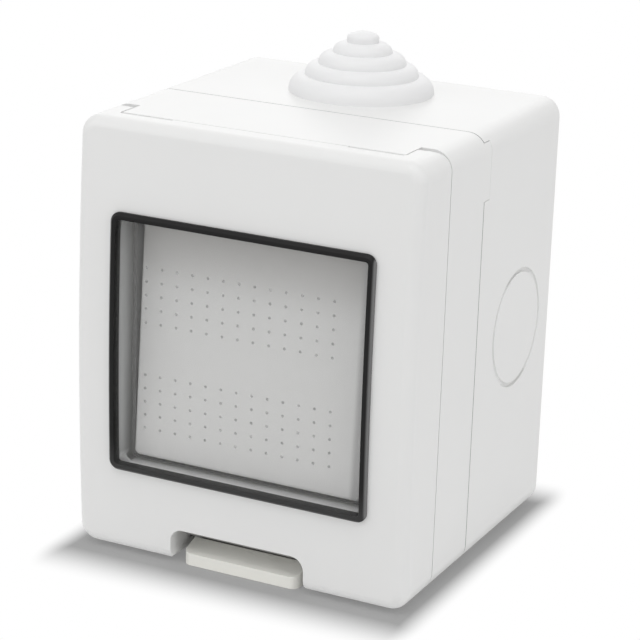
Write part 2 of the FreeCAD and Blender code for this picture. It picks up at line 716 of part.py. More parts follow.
def lid():
    """Hinged front cover with window opening, hinge ears and finger pocket."""
    half_x = WIDTH / 2
    half_z = HEIGHT / 2
    body = slab(half_x, half_z, CORNER, LID_REAR, FAR).common(behind_front(0))
    front = edges_where(body, lambda b: b.YMax < -(LID_REAR + 5))
    body = body.makeFillet(FRONT_EDGE, front)
    hollow = slab(half_x - SKIRT_WALL, half_z - SKIRT_WALL, CORNER - SKIRT_WALL, LID_REAR - 1, FAR, straight=True)
    body = body.cut(hollow.common(behind_front(-LID_WALL)))
    body = body.fuse(pocket_walls().common(behind_front(-LID_WALL / 2)))
    for shape in lid_ears():
        body = body.fuse(shape)
    top_cut = rod(LID_EDGE_REACH, (-EAR_X, *HINGE_AT), (EAR_X, *HINGE_AT))
    top_cut = top_cut.fuse(box(-EAR_X, EAR_X, HINGE_AT[0], 0, HINGE_BOSS_LOW, FAR))
    body = body.cut(top_cut)
    for slot in both_sides(box(SLOT_IN_X, SLOT_OUT_X, -(LID_TOP_REAR + SLOT_EXTRA), 0, half_z - 3, FAR)):
        body = body.cut(slot)
    rounding = box(-FAR, FAR, HINGE_AT[0], 0, HINGE_Z, FAR)
    body = body.cut(rounding.cut(rod(HINGE_DROP, (-FAR, *HINGE_AT), (FAR, *HINGE_AT))))
    for sign in (-1, 1):
        pin = rod(TRUNNION_RADIUS, (sign * (EAR_X + 0.5), *HINGE_AT), (sign * (EAR_X - TRUNNION_LENGTH), *HINGE_AT))
        body = body.fuse(pin)
    opening = (RING_HALF_X - RING_WIDTH + RING_WEB, RING_HALF_Z - RING_WIDTH + RING_WEB)
    body = body.cut(slab(*opening, RING_CORNER - RING_WIDTH + RING_WEB, LID_REAR, FAR, WINDOW_Z))
    return body.cut(pocket_opening()).removeSplitter()


def lid_ears():
    """Cheeks inside the lid's top corners that carry the hinge pins."""
    cheek = box(EAR_X, EAR_X + CHEEK_WIDTH, -CHEEK_FRONT, -LID_REAR, CHEEK_BOTTOM, HEIGHT / 2 - SKIRT_WALL / 2)
    return both_sides(cheek)


def pocket_walls():
    """Thin walls round the finger pocket and the bar that the latch holds."""
    half = POCKET_HALF + POCKET_WALL
    top = POCKET_ROOF - POCKET_WALL
    rear = POCKET_REAR - POCKET_WALL
    outer = slab(half, half, POCKET_CORNER + POCKET_WALL, rear, FAR, -(top + half))
    inner = slab(POCKET_HALF, POCKET_HALF, POCKET_CORNER, rear - 1, FAR, -(POCKET_ROOF + POCKET_HALF))
    bar = slab(half, half, POCKET_CORNER + POCKET_WALL, rear, POCKET_REAR, -(top + half))
    bar = bar.common(box(-FAR, FAR, -FAR, 0, -CATCH_LOW, FAR))
    floor = box(-FAR, FAR, -FAR, 0, -(HEIGHT / 2 - SKIRT_WALL / 2), FAR)
    return outer.cut(inner).common(floor).fuse(bar)


def pocket_opening():
    """Notch through the front wall and bottom skirt, flared at its mouth."""
    inner = slab(POCKET_HALF, POCKET_HALF, POCKET_CORNER, POCKET_REAR, FAR, -(POCKET_ROOF + POCKET_HALF))
    skirt = box(-POCKET_HALF, POCKET_HALF, -FAR, -LID_REAR + 1, -FAR, -(HEIGHT / 2 - SKIRT_WALL))
    cutter = inner.fuse(skirt)
    bottom = -HEIGHT / 2
    for sign in (-1, 1):
        centre_x = sign * (POCKET_HALF + POCKET_FLARE)
        corner = box(min(sign * POCKET_HALF, centre_x), max(sign * POCKET_HALF, centre_x),
                     -FAR, -LID_REAR + 1, bottom - 0.5, bottom + POCKET_FLARE)
        round_off = rod(POCKET_FLARE, (centre_x, -FAR, bottom + POCKET_FLARE), (centre_x, 0, bottom + POCKET_FLARE))
        cutter = cutter.fuse(corner.cut(round_off))
    return cutter


def ring_space(grow, near_offset, far_offset, hole):
    """Part of a rounded window outline that lies between two surfaces beside the front."""
    half_x = RING_HALF_X - RING_WIDTH + grow
    half_z = RING_HALF_Z - RING_WIDTH + grow
    radius = max(RING_CORNER - RING_WIDTH + grow, 0.3)
    shape = slab(half_x, half_z, radius, LID_REAR, FAR, WINDOW_Z)
    if hole is not None:
        inner_radius = max(RING_CORNER - RING_WIDTH + hole, 0.3)
        inner = slab(RING_HALF_X - RING_WIDTH + hole, RING_HALF_Z - RING_WIDTH + hole, inner_radius,
                     LID_REAR - 1, FAR, WINDOW_Z)
        shape = shape.cut(inner)
    return shape.common(behind_front(far_offset)).cut(behind_front(near_offset))


def window_seal():
    """Dark rubber ring that grips the edge of the opening and holds the membrane."""
    flange = ring_space(RING_WIDTH, 0, RING_PROUD, 0)
    front = edges_where(flange, lambda b: b.YMax < -(LID_FRONT + 0.3) and b.YMin < -(LID_FRONT + RING_PROUD))
    try_edges = [edge for edge in front if on_surface(edge, RING_PROUD)]
    flange = flange.makeChamfer(RING_EDGE, try_edges)
    web = ring_space(RING_WEB, -RING_WEB_REACH, 0, 0)
    groove = ring_space(RING_GROOVE, -MEMBRANE_THICKNESS, 0, None)
    return flange.fuse(web).cut(groove).removeSplitter()


def on_surface(edge, offset):
    """Whether an edge lies on the front surface moved out by an offset."""
    half = HEIGHT / 2
    radius = (half * half + BULGE * BULGE) / (2 * BULGE)
    centre = radius - (LID_FRONT + BULGE)
    for vertex in edge.Vertexes:
        reach = math.hypot(vertex.Y - centre, vertex.Z)
        if abs(reach - radius - offset) > 1e-3:
            return False
    return True


def window_membrane():
    """Clear flexible membrane with two fields of small raised dots."""
    sheet = ring_space(RING_GROOVE, -MEMBRANE_THICKNESS, 0, None)
    half = HEIGHT / 2
    radius = (half * half + BULGE * BULGE) / (2 * BULGE)
    centre = radius - (LID_FRONT + BULGE)
    dots = []
    for column in range(DOT_COLUMNS):
        x = (column - (DOT_COLUMNS - 1) / 2) * DOT_PITCH_X
        for row in range(DOT_ROWS):
            for sign in (-1, 1):
                z = WINDOW_Z + sign * (DOT_FIRST_ROW + row * DOT_PITCH_Z)
                surface = centre - math.sqrt(radius * radius - z * z)
                foot = four_sided(DOT_RADIUS, x, surface + DOT_ROOT, z)
                tip = four_sided(DOT_TIP, x, surface - DOT_HEIGHT, z)
                dots.append(Part.makeLoft([foot, tip], True, True))
    return sheet.fuse(dots)


def four_sided(radius, x, y, z):
    """Closed outline with four corners, seen from the front."""
    points = []
    for corner in range(4):
        angle = math.pi * corner / 2
        points.append(Vector(x + radius * math.cos(angle), y, z + radius * math.sin(angle)))
    points.append(points[0])
    return Part.makePolygon(points)


def lid_seal():
    """Grey rubber collar between the lid's back and the frame's nose."""
    rear = NOSE_FRONT + SEAL_GAP
    front = (SEAL_FRONT_X, SEAL_FRONT_Z)
    back = (SEAL_FRONT_X - SEAL_DRAFT, SEAL_FRONT_Z - SEAL_DRAFT)
    outer = slab(front[0] + SEAL_WIDTH, front[1] + SEAL_WIDTH, APERTURE_CORNER + 1, rear, FAR, WINDOW_Z)
    front_wire = slab(*front, APERTURE_CORNER, LID_FRONT + 1, FAR, WINDOW_Z).Faces
    rear_wire = slab(*back, APERTURE_CORNER, rear - 1, FAR, WINDOW_Z).Faces
    wires = [flat_wire(faces) for faces in (rear_wire, front_wire)]
    bore = Part.makeLoft(wires, True, True)
    lip = ring_space(RING_WEB - SEAL_LIP_PLAY, -LID_WALL - 1, -SEAL_LIP_REACH, None)
    return outer.common(behind_front(-LID_WALL)).fuse(lip).cut(bore).removeSplitter()


def flat_wire(faces):
    """Outline of the face that is nearest to the wall."""
    flat = [face for face in faces if face.BoundBox.YLength < 1e-6]
    return max(flat, key=lambda face: face.BoundBox.YMax).OuterWire


def latch_tab():
    """Spring-loaded tab that holds the lid's catch bar until it is pressed down."""
    profile = [(-TAB_FRONT, -TAB_BOTTOM), (-TAB_FRONT, -TAB_LIP), (-TAB_CREST_Y, -TAB_CREST),
               (-TAB_CREST_Y, -TAB_TOP), (-LATCH_Y, -TAB_TOP), (-LATCH_Y, LATCH_Z - LATCH_BARREL),
               (-LATCH_Y - 2.4, -TAB_BOTTOM)]
    body = prism(profile, -TAB_HALF, TAB_HALF)
    uprights = edges_where(body, lambda b: b.YMax < -TAB_FRONT + 1e-6 and b.XLength < 1e-6)
    body = body.makeFillet(TAB_CORNER, uprights)
    body = body.fuse(rod(LATCH_BARREL, (-TAB_HALF, -LATCH_Y, LATCH_Z), (TAB_HALF, -LATCH_Y, LATCH_Z)))
    arm = box(-ARM_HALF, ARM_HALF, -LATCH_Y, -ARM_END, -ARM_BOTTOM, -ARM_TOP)
    body = body.fuse(arm)
    reach = TAB_HALF + LATCH_CHEEK_GAP + LATCH_CHEEK
    pins = rod(LATCH_PIN, (-reach, -LATCH_Y, LATCH_Z), (reach, -LATCH_Y, LATCH_Z))
    return body.fuse(pins).removeSplitter()


def latch_spring():
    """Small coil that pushes the latch's rear arm down."""
    spring = coil(LATCH_SPRING_RADIUS, SPRING_WIRE, LATCH_SPRING_TURNS, ARM_TOP - LATCH_SPRING_TOP)
    spring.translate(Vector(0, -LATCH_SPRING_Y, -ARM_TOP))
    return spring


def rocker_key():
    """Square rocker plate with two clips behind it, in its rest tilt."""
    body = slab(KEY_HALF_X, KEY_HALF_Z, KEY_CORNER, KEY_REAR, KEY_FRONT, WINDOW_Z)
    body = body.makeFillet(KEY_EDGE, edges_where(body, lambda b: b.YMax < -KEY_FRONT + 1e-6))
    inner_x = KEY_HALF_X - KEY_WALL
    inner_z = KEY_HALF_Z - KEY_WALL
    body = body.cut(slab(inner_x, inner_z, 0.4, KEY_REAR - 1, KEY_FRONT - KEY_FACE, WINDOW_Z, straight=True))
    face = KEY_FRONT - KEY_FACE
    shelf = face - CARRIER_PLATE
    for sign in (-1, 1):
        near = CARRIER_HALF_Z + CLIP_PLAY
        arm = sorted((WINDOW_Z + sign * near, WINDOW_Z + sign * (near + CLIP_WALL)))
        hook = sorted((WINDOW_Z + sign * (near - CLIP_HOOK), WINDOW_Z + sign * near))
        body = body.fuse(box(-CLIP_HALF, CLIP_HALF, -face - 0.3, -CLIP_REAR, *arm))
        body = body.fuse(box(-CLIP_HALF, CLIP_HALF, -shelf + CLIP_PLAY / 2, -CLIP_REAR, *hook))
    return rocked(body.removeSplitter(), ROCKER_AXIS_Y, -ROCKER_TILT)


def rocker_carrier():
    """Inner rocker with pivot pins and the hollow stem for the plunger."""
    face = KEY_FRONT - KEY_FACE
    low = WINDOW_Z - CARRIER_HALF_Z
    high = WINDOW_Z + CARRIER_HALF_Z
    body = box(-CARRIER_HALF_X, CARRIER_HALF_X, -face, -face + CARRIER_PLATE, low, high)
    cheek = box(CARRIER_HALF_X - CARRIER_CHEEK, CARRIER_HALF_X, -face, -ROCKER_AXIS_Y,
                WINDOW_Z - CARRIER_EYE, WINDOW_Z + CARRIER_EYE)
    eye = rod(CARRIER_EYE, (CARRIER_HALF_X - CARRIER_CHEEK, -ROCKER_AXIS_Y, WINDOW_Z),
              (CARRIER_HALF_X, -ROCKER_AXIS_Y, WINDOW_Z))
    for part in both_sides(cheek.fuse(eye)):
        body = body.fuse(part)
    web = box(-CARRIER_HALF_X, CARRIER_HALF_X, -face, -ROCKER_AXIS_Y, WINDOW_Z - 0.8, WINDOW_Z + 0.8)
    body = body.fuse(web)
    body = body.fuse(rod(STEM_RADIUS, (0, -face + 0.5, WINDOW_Z), (0, -STEM_REAR, WINDOW_Z)))
    reach = CARRIER_HALF_X + LUG_GAP + BEARING_WIDTH
    for sign in (-1, 1):
        pin = rod(CARRIER_PIN, (sign * (CARRIER_HALF_X - 0.5), -ROCKER_AXIS_Y, WINDOW_Z),
                  (sign * reach, -ROCKER_AXIS_Y, WINDOW_Z))
        body = body.fuse(pin)
    bore = rod(PLUNGER_RADIUS + PLUNGER_PLAY, (0, -STEM_BORE_END, WINDOW_Z), (0, 0, WINDOW_Z))
    return rocked(body.cut(bore).removeSplitter(), ROCKER_AXIS_Y, -ROCKER_TILT)


def plunger():
    """Round-nosed pin that presses the contact blade over its pivot."""
    centre = PLUNGER_TIP + PLUNGER_RADIUS
    body = rod(PLUNGER_RADIUS, (0, -PLUNGER_HEAD, WINDOW_Z), (0, -centre, WINDOW_Z))
    nose = Part.makeSphere(PLUNGER_RADIUS, Vector(0, -centre, WINDOW_Z))
    return rocked(body.fuse(nose).removeSplitter(), ROCKER_AXIS_Y, -ROCKER_TILT)


def plunger_spring():
    """Coil that pushes the plunger out of the carrier's stem."""
    spring = coil(SPRING_RADIUS, SPRING_WIRE, SPRING_TURNS, STEM_BORE_END - PLUNGER_HEAD)
    spring.rotate(Vector(0, 0, 0), Vector(1, 0, 0), 90)
    spring.translate(Vector(0, -PLUNGER_HEAD, WINDOW_Z))
    return rocked(spring, ROCKER_AXIS_Y, -ROCKER_TILT)


def switch_cover():
    """Front plate of the mechanism with the rocker's two bearings."""
    rear = COVER_FRONT - COVER_THICK
    body = slab(COVER_HALF_X, COVER_HALF_Z, 1.5, rear, COVER_FRONT, WINDOW_Z, straight=True)
    body = body.fuse(slab(COVER_EAR_HALF, COVER_EAR_REACH, 2.0, rear, COVER_FRONT, WINDOW_Z, straight=True))
    body = body.cut(slab(COVER_OPEN_X, COVER_OPEN_Z, 0.5, rear - 1, FAR, WINDOW_Z, straight=True))
    inner = CARRIER_HALF_X + LUG_GAP
    lug = box(inner, inner + BEARING_WIDTH, -BEARING_TOP + BEARING_HALF - 0.6, -COVER_FRONT + 0.5,
              WINDOW_Z - BEARING_HALF, WINDOW_Z + BEARING_HALF)
    crown_at = -ROCKER_AXIS_Y
    lug = lug.fuse(rod(BEARING_HALF - 0.6, (inner, crown_at, WINDOW_Z), (inner + BEARING_WIDTH, crown_at, WINDOW_Z)))
    for part in both_sides(lug):
        body = body.fuse(part)
    reach = inner + BEARING_WIDTH + 1
    body = body.cut(rod(CARRIER_PIN + CARRIER_PIN_PLAY, (-reach, -ROCKER_AXIS_Y, WINDOW_Z),
                        (reach, -ROCKER_AXIS_Y, WINDOW_Z)))
    for sign in (-1, 1):
        z = WINDOW_Z + sign * MODULE_SCREW_Z
        body = body.cut(post(MODULE_SHANK + 0.3, (0, 0, z), (0, -FAR, z)))
        x = sign * COVER_SCREW
        z = WINDOW_Z + sign * COVER_SCREW
        body = body.cut(post(COVER_SCREW_SHANK + 0.2, (x, 0, z), (x, -FAR, z)))
    return body.removeSplitter()


def module_screws():
    """Two screws that hold the mechanism to the back of the frame."""
    seat = -(COVER_FRONT - COVER_THICK)
    shapes = []
    for sign in (-1, 1):
        at = (0, seat, WINDOW_Z + sign * MODULE_SCREW_Z)
        shapes.append(screw(at, MODULE_HEAD, MODULE_HEAD_HEIGHT, MODULE_SHANK, -MODULE_TIP, -1))
    return Part.makeCompound(shapes)


def cover_screws():
    """Two screws that hold the mechanism's cover to its base."""
    shapes = []
    for sign in (-1, 1):
        at = (sign * COVER_SCREW, -COVER_FRONT, WINDOW_Z + sign * COVER_SCREW)
        shapes.append(screw(at, COVER_SCREW_HEAD, COVER_SCREW_HEAD_HEIGHT, COVER_SCREW_SHANK, -COVER_SCREW_TIP, 1))
    return Part.makeCompound(shapes)


def terminal_places():
    """Directions in X and Z in which the three terminals run from the centre."""
    return ((-1, 0), (0, 1), (0, -1))


def placed_terminal(shape, direction):
    """A part drawn for the terminal along -Z, turned to its own direction."""
    angles = {(0, -1): 0, (-1, 0): 90, (0, 1): 180}
    turned = shape.copy()
    turned.rotate(Vector(0, 0, 0), Vector(0, 1, 0), angles[direction])
    turned.translate(Vector(0, 0, WINDOW_Z))
    return turned


def switch_base():
    """Moulded base of the mechanism with contact chamber and terminal pockets."""
    front = COVER_FRONT - COVER_THICK
    body = slab(BASE_HALF, BASE_HALF, BASE_CORNER, BASE_REAR, front, straight=True)
    body = body.cut(box(-CHAMBER_X, CHAMBER_X, -FAR, -BASE_FLOOR, -CHAMBER_Z, CHAMBER_Z))
    inner = BASE_HALF - CORE_WALL
    side = box(CHAMBER_X + CORE_WALL, inner, -FAR, -BASE_FLOOR, -inner, inner)
    reach = COVER_SCREW_SHANK + CORE_WALL
    for sign in (-1, 1):
        at = sign * COVER_SCREW
        side = side.cut(post(reach, (at, 0, at), (at, -FAR, at)))
    for shape in both_sides(side):
        body = body.cut(shape.cut(base_posts(reach)))
    body = body.cut(box(-CHAMBER_X, CHAMBER_X, -FAR, -BASE_FLOOR, CHAMBER_Z + CORE_WALL, inner))
    body = body.cut(box(-CHAMBER_X, CHAMBER_X, -FAR, -BASE_FLOOR, -inner, -CHAMBER_Z - CORE_WALL))
    for sign in (-1, 1):
        at = sign * COVER_SCREW
        body = body.cut(post(COVER_SCREW_SHANK + PILOT_PLAY, (at, -COVER_SCREW_TIP + 1, at), (at, -FAR, at)))
    body.translate(Vector(0, 0, WINDOW_Z))
    for direction in terminal_places():
        for cutter in terminal_cuts():
            body = body.cut(placed_terminal(cutter, direction))
    return body.removeSplitter()


def base_posts(radius):
    """Both posts that take the cover's screws."""
    posts = [post(radius, (at, 0, at), (at, -FAR, at)) for at in (-COVER_SCREW, COVER_SCREW)]
    return posts[0].fuse(posts[1])


def terminal_cuts():
    """Rear pocket, strip slot and screw hole for one terminal along -Z."""
    half = REAR_TAB_HALF + 0.4
    pocket_floor = REAR_TAB_Y + REAR_TAB_THICK
    pocket = box(-half, half, -pocket_floor, 0, -(TAB_OUT + 0.4), -(RISER_OUT - STRIP - SLOT_PLAY))
    slot_half = STRIP_HALF + SLOT_PLAY
    slot = box(-slot_half, slot_half, -BASE_FLOOR - 1, -pocket_floor + 1,
               -(RISER_OUT + SLOT_PLAY), -(RISER_OUT - STRIP - SLOT_PLAY))
    hole = post(TERMINAL_SCREW + 0.2, (0, 0, -TERMINAL_AT), (0, -TERMINAL_TIP - 0.4, -TERMINAL_AT))
    return pocket, slot, hole


def terminal_strip(pad_start):
    """Bent strip from the contact chamber to the rear tab, drawn along -Z."""
    pad_front = BASE_FLOOR + STRIP
    pad = box(-STRIP_HALF, STRIP_HALF, -pad_front, -BASE_FLOOR, -RISER_OUT, pad_start)
    riser = box(-STRIP_HALF, STRIP_HALF, -pad_front, -REAR_TAB_Y, -RISER_OUT, -(RISER_OUT - STRIP))
    rear = box(-REAR_TAB_HALF, REAR_TAB_HALF, -(REAR_TAB_Y + REAR_TAB_THICK), -REAR_TAB_Y,
               -TAB_OUT, -(RISER_OUT - STRIP))
    hole = post(TERMINAL_SCREW + TERMINAL_HOLE_PLAY, (0, 0, -TERMINAL_AT), (0, -BASE_FLOOR, -TERMINAL_AT))
    return pad.fuse([riser, rear]).cut(hole)


def common_terminal():
    """Terminal whose cradle carries the contact blade."""
    body = terminal_strip(STRIP_HALF)
    cradle = box(-STRIP_HALF, STRIP_HALF, -CRADLE_TOP, -BASE_FLOOR - STRIP / 2, -CRADLE_HALF, CRADLE_HALF)
    body = placed_terminal(body, (-1, 0))
    cradle.translate(Vector(0, 0, WINDOW_Z))
    body = body.fuse(cradle)
    groove = rod(BLADE_BEAD + BLADE_BEAD_PLAY, (-FAR, -BLADE_Y, WINDOW_Z), (FAR, -BLADE_Y, WINDOW_Z))
    return body.cut(groove).removeSplitter()


def outgoing_terminal(direction):
    """Terminal with one fixed contact, above or below the centre."""
    return placed_terminal(terminal_strip(-PAD_IN), direction).removeSplitter()


def fixed_contacts():
    """Contact rivets on the two outgoing terminals."""
    seat = -(BASE_FLOOR + STRIP)
    shapes = []
    for sign in (-1, 1):
        z = WINDOW_Z + sign * RIVET_Z
        shapes.append(post(RIVET_RADIUS, (0, seat, z), (0, seat - RIVET_HEIGHT, z)))
    return Part.makeCompound(shapes)


def contact_blade():
    """Changeover blade that rocks on the common terminal's cradle, in its rest tilt."""
    body = box(-BLADE_HALF_X, BLADE_HALF_X, -(BLADE_Y + BLADE_THICK), -BLADE_Y,
               WINDOW_Z - BLADE_HALF_Z, WINDOW_Z + BLADE_HALF_Z)
    bead = rod(BLADE_BEAD, (-BLADE_HALF_X, -BLADE_Y, WINDOW_Z), (BLADE_HALF_X, -BLADE_Y, WINDOW_Z))
    front = box(-FAR, FAR, -FAR, -(BLADE_Y + BLADE_THICK), -FAR, FAR)
    body = body.fuse(bead.cut(front))
    return rocked(body.removeSplitter(), BLADE_Y, BLADE_TILT)


def moving_contacts():
    """Contact rivets on the two ends of the blade."""
    shapes = []
    for sign in (-1, 1):
        z = WINDOW_Z + sign * RIVET_Z
        rivet = post(RIVET_RADIUS, (0, -BLADE_Y, z), (0, -BLADE_Y + RIVET_HEIGHT, z))
        shapes.append(rocked(rivet, BLADE_Y, BLADE_TILT))
    return Part.makeCompound(shapes)


def terminal_clamps():
    """Square clamp plates under the terminal screws."""
    shapes = []
    for direction in terminal_places():
        plate = box(-CLAMP_HALF, CLAMP_HALF, -REAR_TAB_Y, -(REAR_TAB_Y - CLAMP_THICK),
                    -(TERMINAL_AT + CLAMP_HALF), -(TERMINAL_AT - CLAMP_HALF))
        plate = plate.cut(post(TERMINAL_SCREW + TERMINAL_HOLE_PLAY, (0, 0, -TERMINAL_AT), (0, -FAR, -TERMINAL_AT)))
        shapes.append(placed_terminal(plate, direction))
    return Part.makeCompound(shapes)


def terminal_screws():
    """Three clamp screws, reached from the back."""
    seat = -(REAR_TAB_Y - CLAMP_THICK)
    shapes = []
    for direction in terminal_places():
        shape = screw((0, seat, -TERMINAL_AT), TERMINAL_HEAD, TERMINAL_HEAD_HEIGHT, TERMINAL_SCREW, -TERMINAL_TIP, -1)
        shapes.append(placed_terminal(shape, direction))
    return Part.makeCompound(shapes)


def build():
    """Every sub-part by name."""
    return {
        "rear_box": rear_box(),
        "cable_grommet": cable_grommet(),
        "box_gasket": box_gasket(),
        "front_frame": front_frame(),
        "frame_screws": frame_screws(),
        "lid": lid(),
        "window_seal": window_seal(),
        "window_membrane": window_membrane(),
        "lid_seal": lid_seal(),
        "latch_tab": latch_tab(),
        "latch_spring": latch_spring(),
        "rocker_key": rocker_key(),
        "rocker_carrier": rocker_carrier(),
        "plunger": plunger(),
        "plunger_spring": plunger_spring(),
        "switch_cover": switch_cover(),
        "module_screws": module_screws(),
        "cover_screws": cover_screws(),
        "switch_base": switch_base(),
        "common_terminal": common_terminal(),
        "upper_terminal": outgoing_terminal((0, 1)),
        "lower_terminal": outgoing_terminal((0, -1)),
        "fixed_contacts": fixed_contacts(),
        "contact_blade": contact_blade(),
        "moving_contacts": moving_contacts(),
        "terminal_clamps": terminal_clamps(),
        "terminal_screws": terminal_screws(),
    }


os.makedirs("parts", exist_ok=True)
for node_name, node_shape in build().items():
    print(node_name, node_shape.ShapeType, len(node_shape.Solids), node_shape.isValid(), round(node_shape.Volume, 1))
    node_shape.exportStep("parts/" + node_name + ".step")
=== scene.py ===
"""Looks of a surface-mounted weatherproof rocker switch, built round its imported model.

Every length is in metres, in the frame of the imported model: X to the right, Y into the wall, Z up.
"""
import logging
import math
from dataclasses import dataclass, field, replace
from enum import Enum
from typing import Callable, Sequence

import bmesh
import bpy
from mathutils import Matrix, Vector


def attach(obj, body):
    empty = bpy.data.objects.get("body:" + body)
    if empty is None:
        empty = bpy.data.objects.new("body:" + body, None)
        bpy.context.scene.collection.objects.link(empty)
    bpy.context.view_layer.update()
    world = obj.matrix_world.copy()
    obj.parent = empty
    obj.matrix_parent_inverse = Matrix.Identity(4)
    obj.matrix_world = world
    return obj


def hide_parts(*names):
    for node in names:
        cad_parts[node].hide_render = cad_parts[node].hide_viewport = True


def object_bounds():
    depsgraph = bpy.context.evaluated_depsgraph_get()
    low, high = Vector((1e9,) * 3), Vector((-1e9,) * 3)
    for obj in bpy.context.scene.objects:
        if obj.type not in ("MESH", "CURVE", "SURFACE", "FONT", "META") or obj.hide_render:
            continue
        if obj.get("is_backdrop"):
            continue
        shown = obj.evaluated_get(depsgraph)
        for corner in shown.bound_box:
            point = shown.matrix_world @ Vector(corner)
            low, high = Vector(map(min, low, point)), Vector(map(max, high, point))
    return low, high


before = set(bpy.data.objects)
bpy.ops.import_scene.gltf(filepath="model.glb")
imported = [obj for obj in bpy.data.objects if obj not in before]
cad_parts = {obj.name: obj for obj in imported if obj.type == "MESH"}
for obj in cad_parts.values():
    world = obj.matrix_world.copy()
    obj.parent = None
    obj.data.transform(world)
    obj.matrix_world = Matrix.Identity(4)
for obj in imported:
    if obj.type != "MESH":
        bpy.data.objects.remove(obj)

log = logging.getLogger("switch")

MM = 0.001
ANY = math.inf
Colour = tuple[float, float, float]
Point = tuple[float, float]
WELD_REACH = 0.0001 * MM
FLAT_ANGLE = 0.4
NORMAL_WEIGHT = 80


class Body(Enum):
    """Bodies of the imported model."""

    HOUSING = "housing"
    LID = "lid"
    LATCH = "latch"
    ROCKER = "rocker"
    PLUNGER = "plunger"
    CONTACT = "contact"


@dataclass(frozen=True)
class Case:
    """Driving dimensions of the switch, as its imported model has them.

    Attributes:
        half_width: from the middle plane to a side.
        half_height: from the middle to the top.
        box_rim: distance of the box's rim from the wall.
        lid_front: distance of the lid's front from the wall, at its top and bottom.
        bulge: how far the middle of the lid's front stands before that.
        window_z: height of the window's middle.
        window_half_x: half of the window's width inside its ring.
        window_half_z: half of the window's height inside its ring.
        window_foot: height of the window's lower edge.
        window_top: height of the window's upper edge.
        knockout_y: distance of the side knock-outs' middle from the wall.
        knockout_radius: radius of their groove.
    """

    half_width: float = 33.1 * MM
    half_height: float = 40.0 * MM
    box_rim: float = 35.3 * MM
    lid_front: float = 61.3 * MM
    bulge: float = 1.3 * MM
    window_z: float = -0.1 * MM
    window_half_x: float = 24.35 * MM
    window_half_z: float = 22.7 * MM
    window_foot: float = window_z - window_half_z
    window_top: float = window_z + window_half_z
    knockout_y: float = 16.5 * MM
    knockout_radius: float = 11.2 * MM


CASE = Case()


def linear(colour: Colour) -> tuple[float, float, float, float]:
    """Turns a colour as seen on a screen into scene-linear values.

    Args:
        colour: red, green and blue from 0 to 1 as a screen shows them.

    Returns:
        The linear red, green and blue with an alpha of 1.
    """
    parts = [c / 12.92 if c <= 0.04045 else ((c + 0.055) / 1.055) ** 2.4 for c in colour]
    return (*parts, 1.0)


class Signal:
    """One output socket that takes part in Python arithmetic."""

    def __init__(self, shader: "Shader", socket: bpy.types.NodeSocket) -> None:
        """Keeps the socket and the shader whose nodes it belongs to."""
        self.shader = shader
        self.socket = socket

    def _math(self, operation: str, first: object, second: object) -> "Signal":
        """Adds one Math node.

        Args:
            operation: the node's operation.
            first: its first value or signal.
            second: its second value or signal.

        Returns:
            The node's output.
        """
        return self.shader.node("ShaderNodeMath", {"operation": operation}, {0: first, 1: second})

    def __add__(self, other: object) -> "Signal":
        """Sum of the two."""
        return self._math("ADD", self, other)

    def __radd__(self, other: object) -> "Signal":
        """Sum of the two."""
        return self._math("ADD", other, self)

    def __sub__(self, other: object) -> "Signal":
        """Difference of the two."""
        return self._math("SUBTRACT", self, other)

    def __rsub__(self, other: object) -> "Signal":
        """Difference of the two, the other way round."""
        return self._math("SUBTRACT", other, self)

    def __mul__(self, other: object) -> "Signal":
        """Product of the two."""
        return self._math("MULTIPLY", self, other)

    def __rmul__(self, other: object) -> "Signal":
        """Product of the two."""
        return self._math("MULTIPLY", other, self)

    def __pow__(self, other: object) -> "Signal":
        """This signal raised to a power."""
        return self._math("POWER", self, other)

    def __rpow__(self, other: object) -> "Signal":
        """The other raised to the power of this signal."""
        return self._math("POWER", other, self)

    def __abs__(self) -> "Signal":
        """This signal without its sign."""
        return self._math("ABSOLUTE", self, 0.0)

    def __or__(self, other: object) -> "Signal":
        """The greater of the two."""
        return self._math("MAXIMUM", self, other)

    def __ror__(self, other: object) -> "Signal":
        """The greater of the two."""
        return self._math("MAXIMUM", other, self)


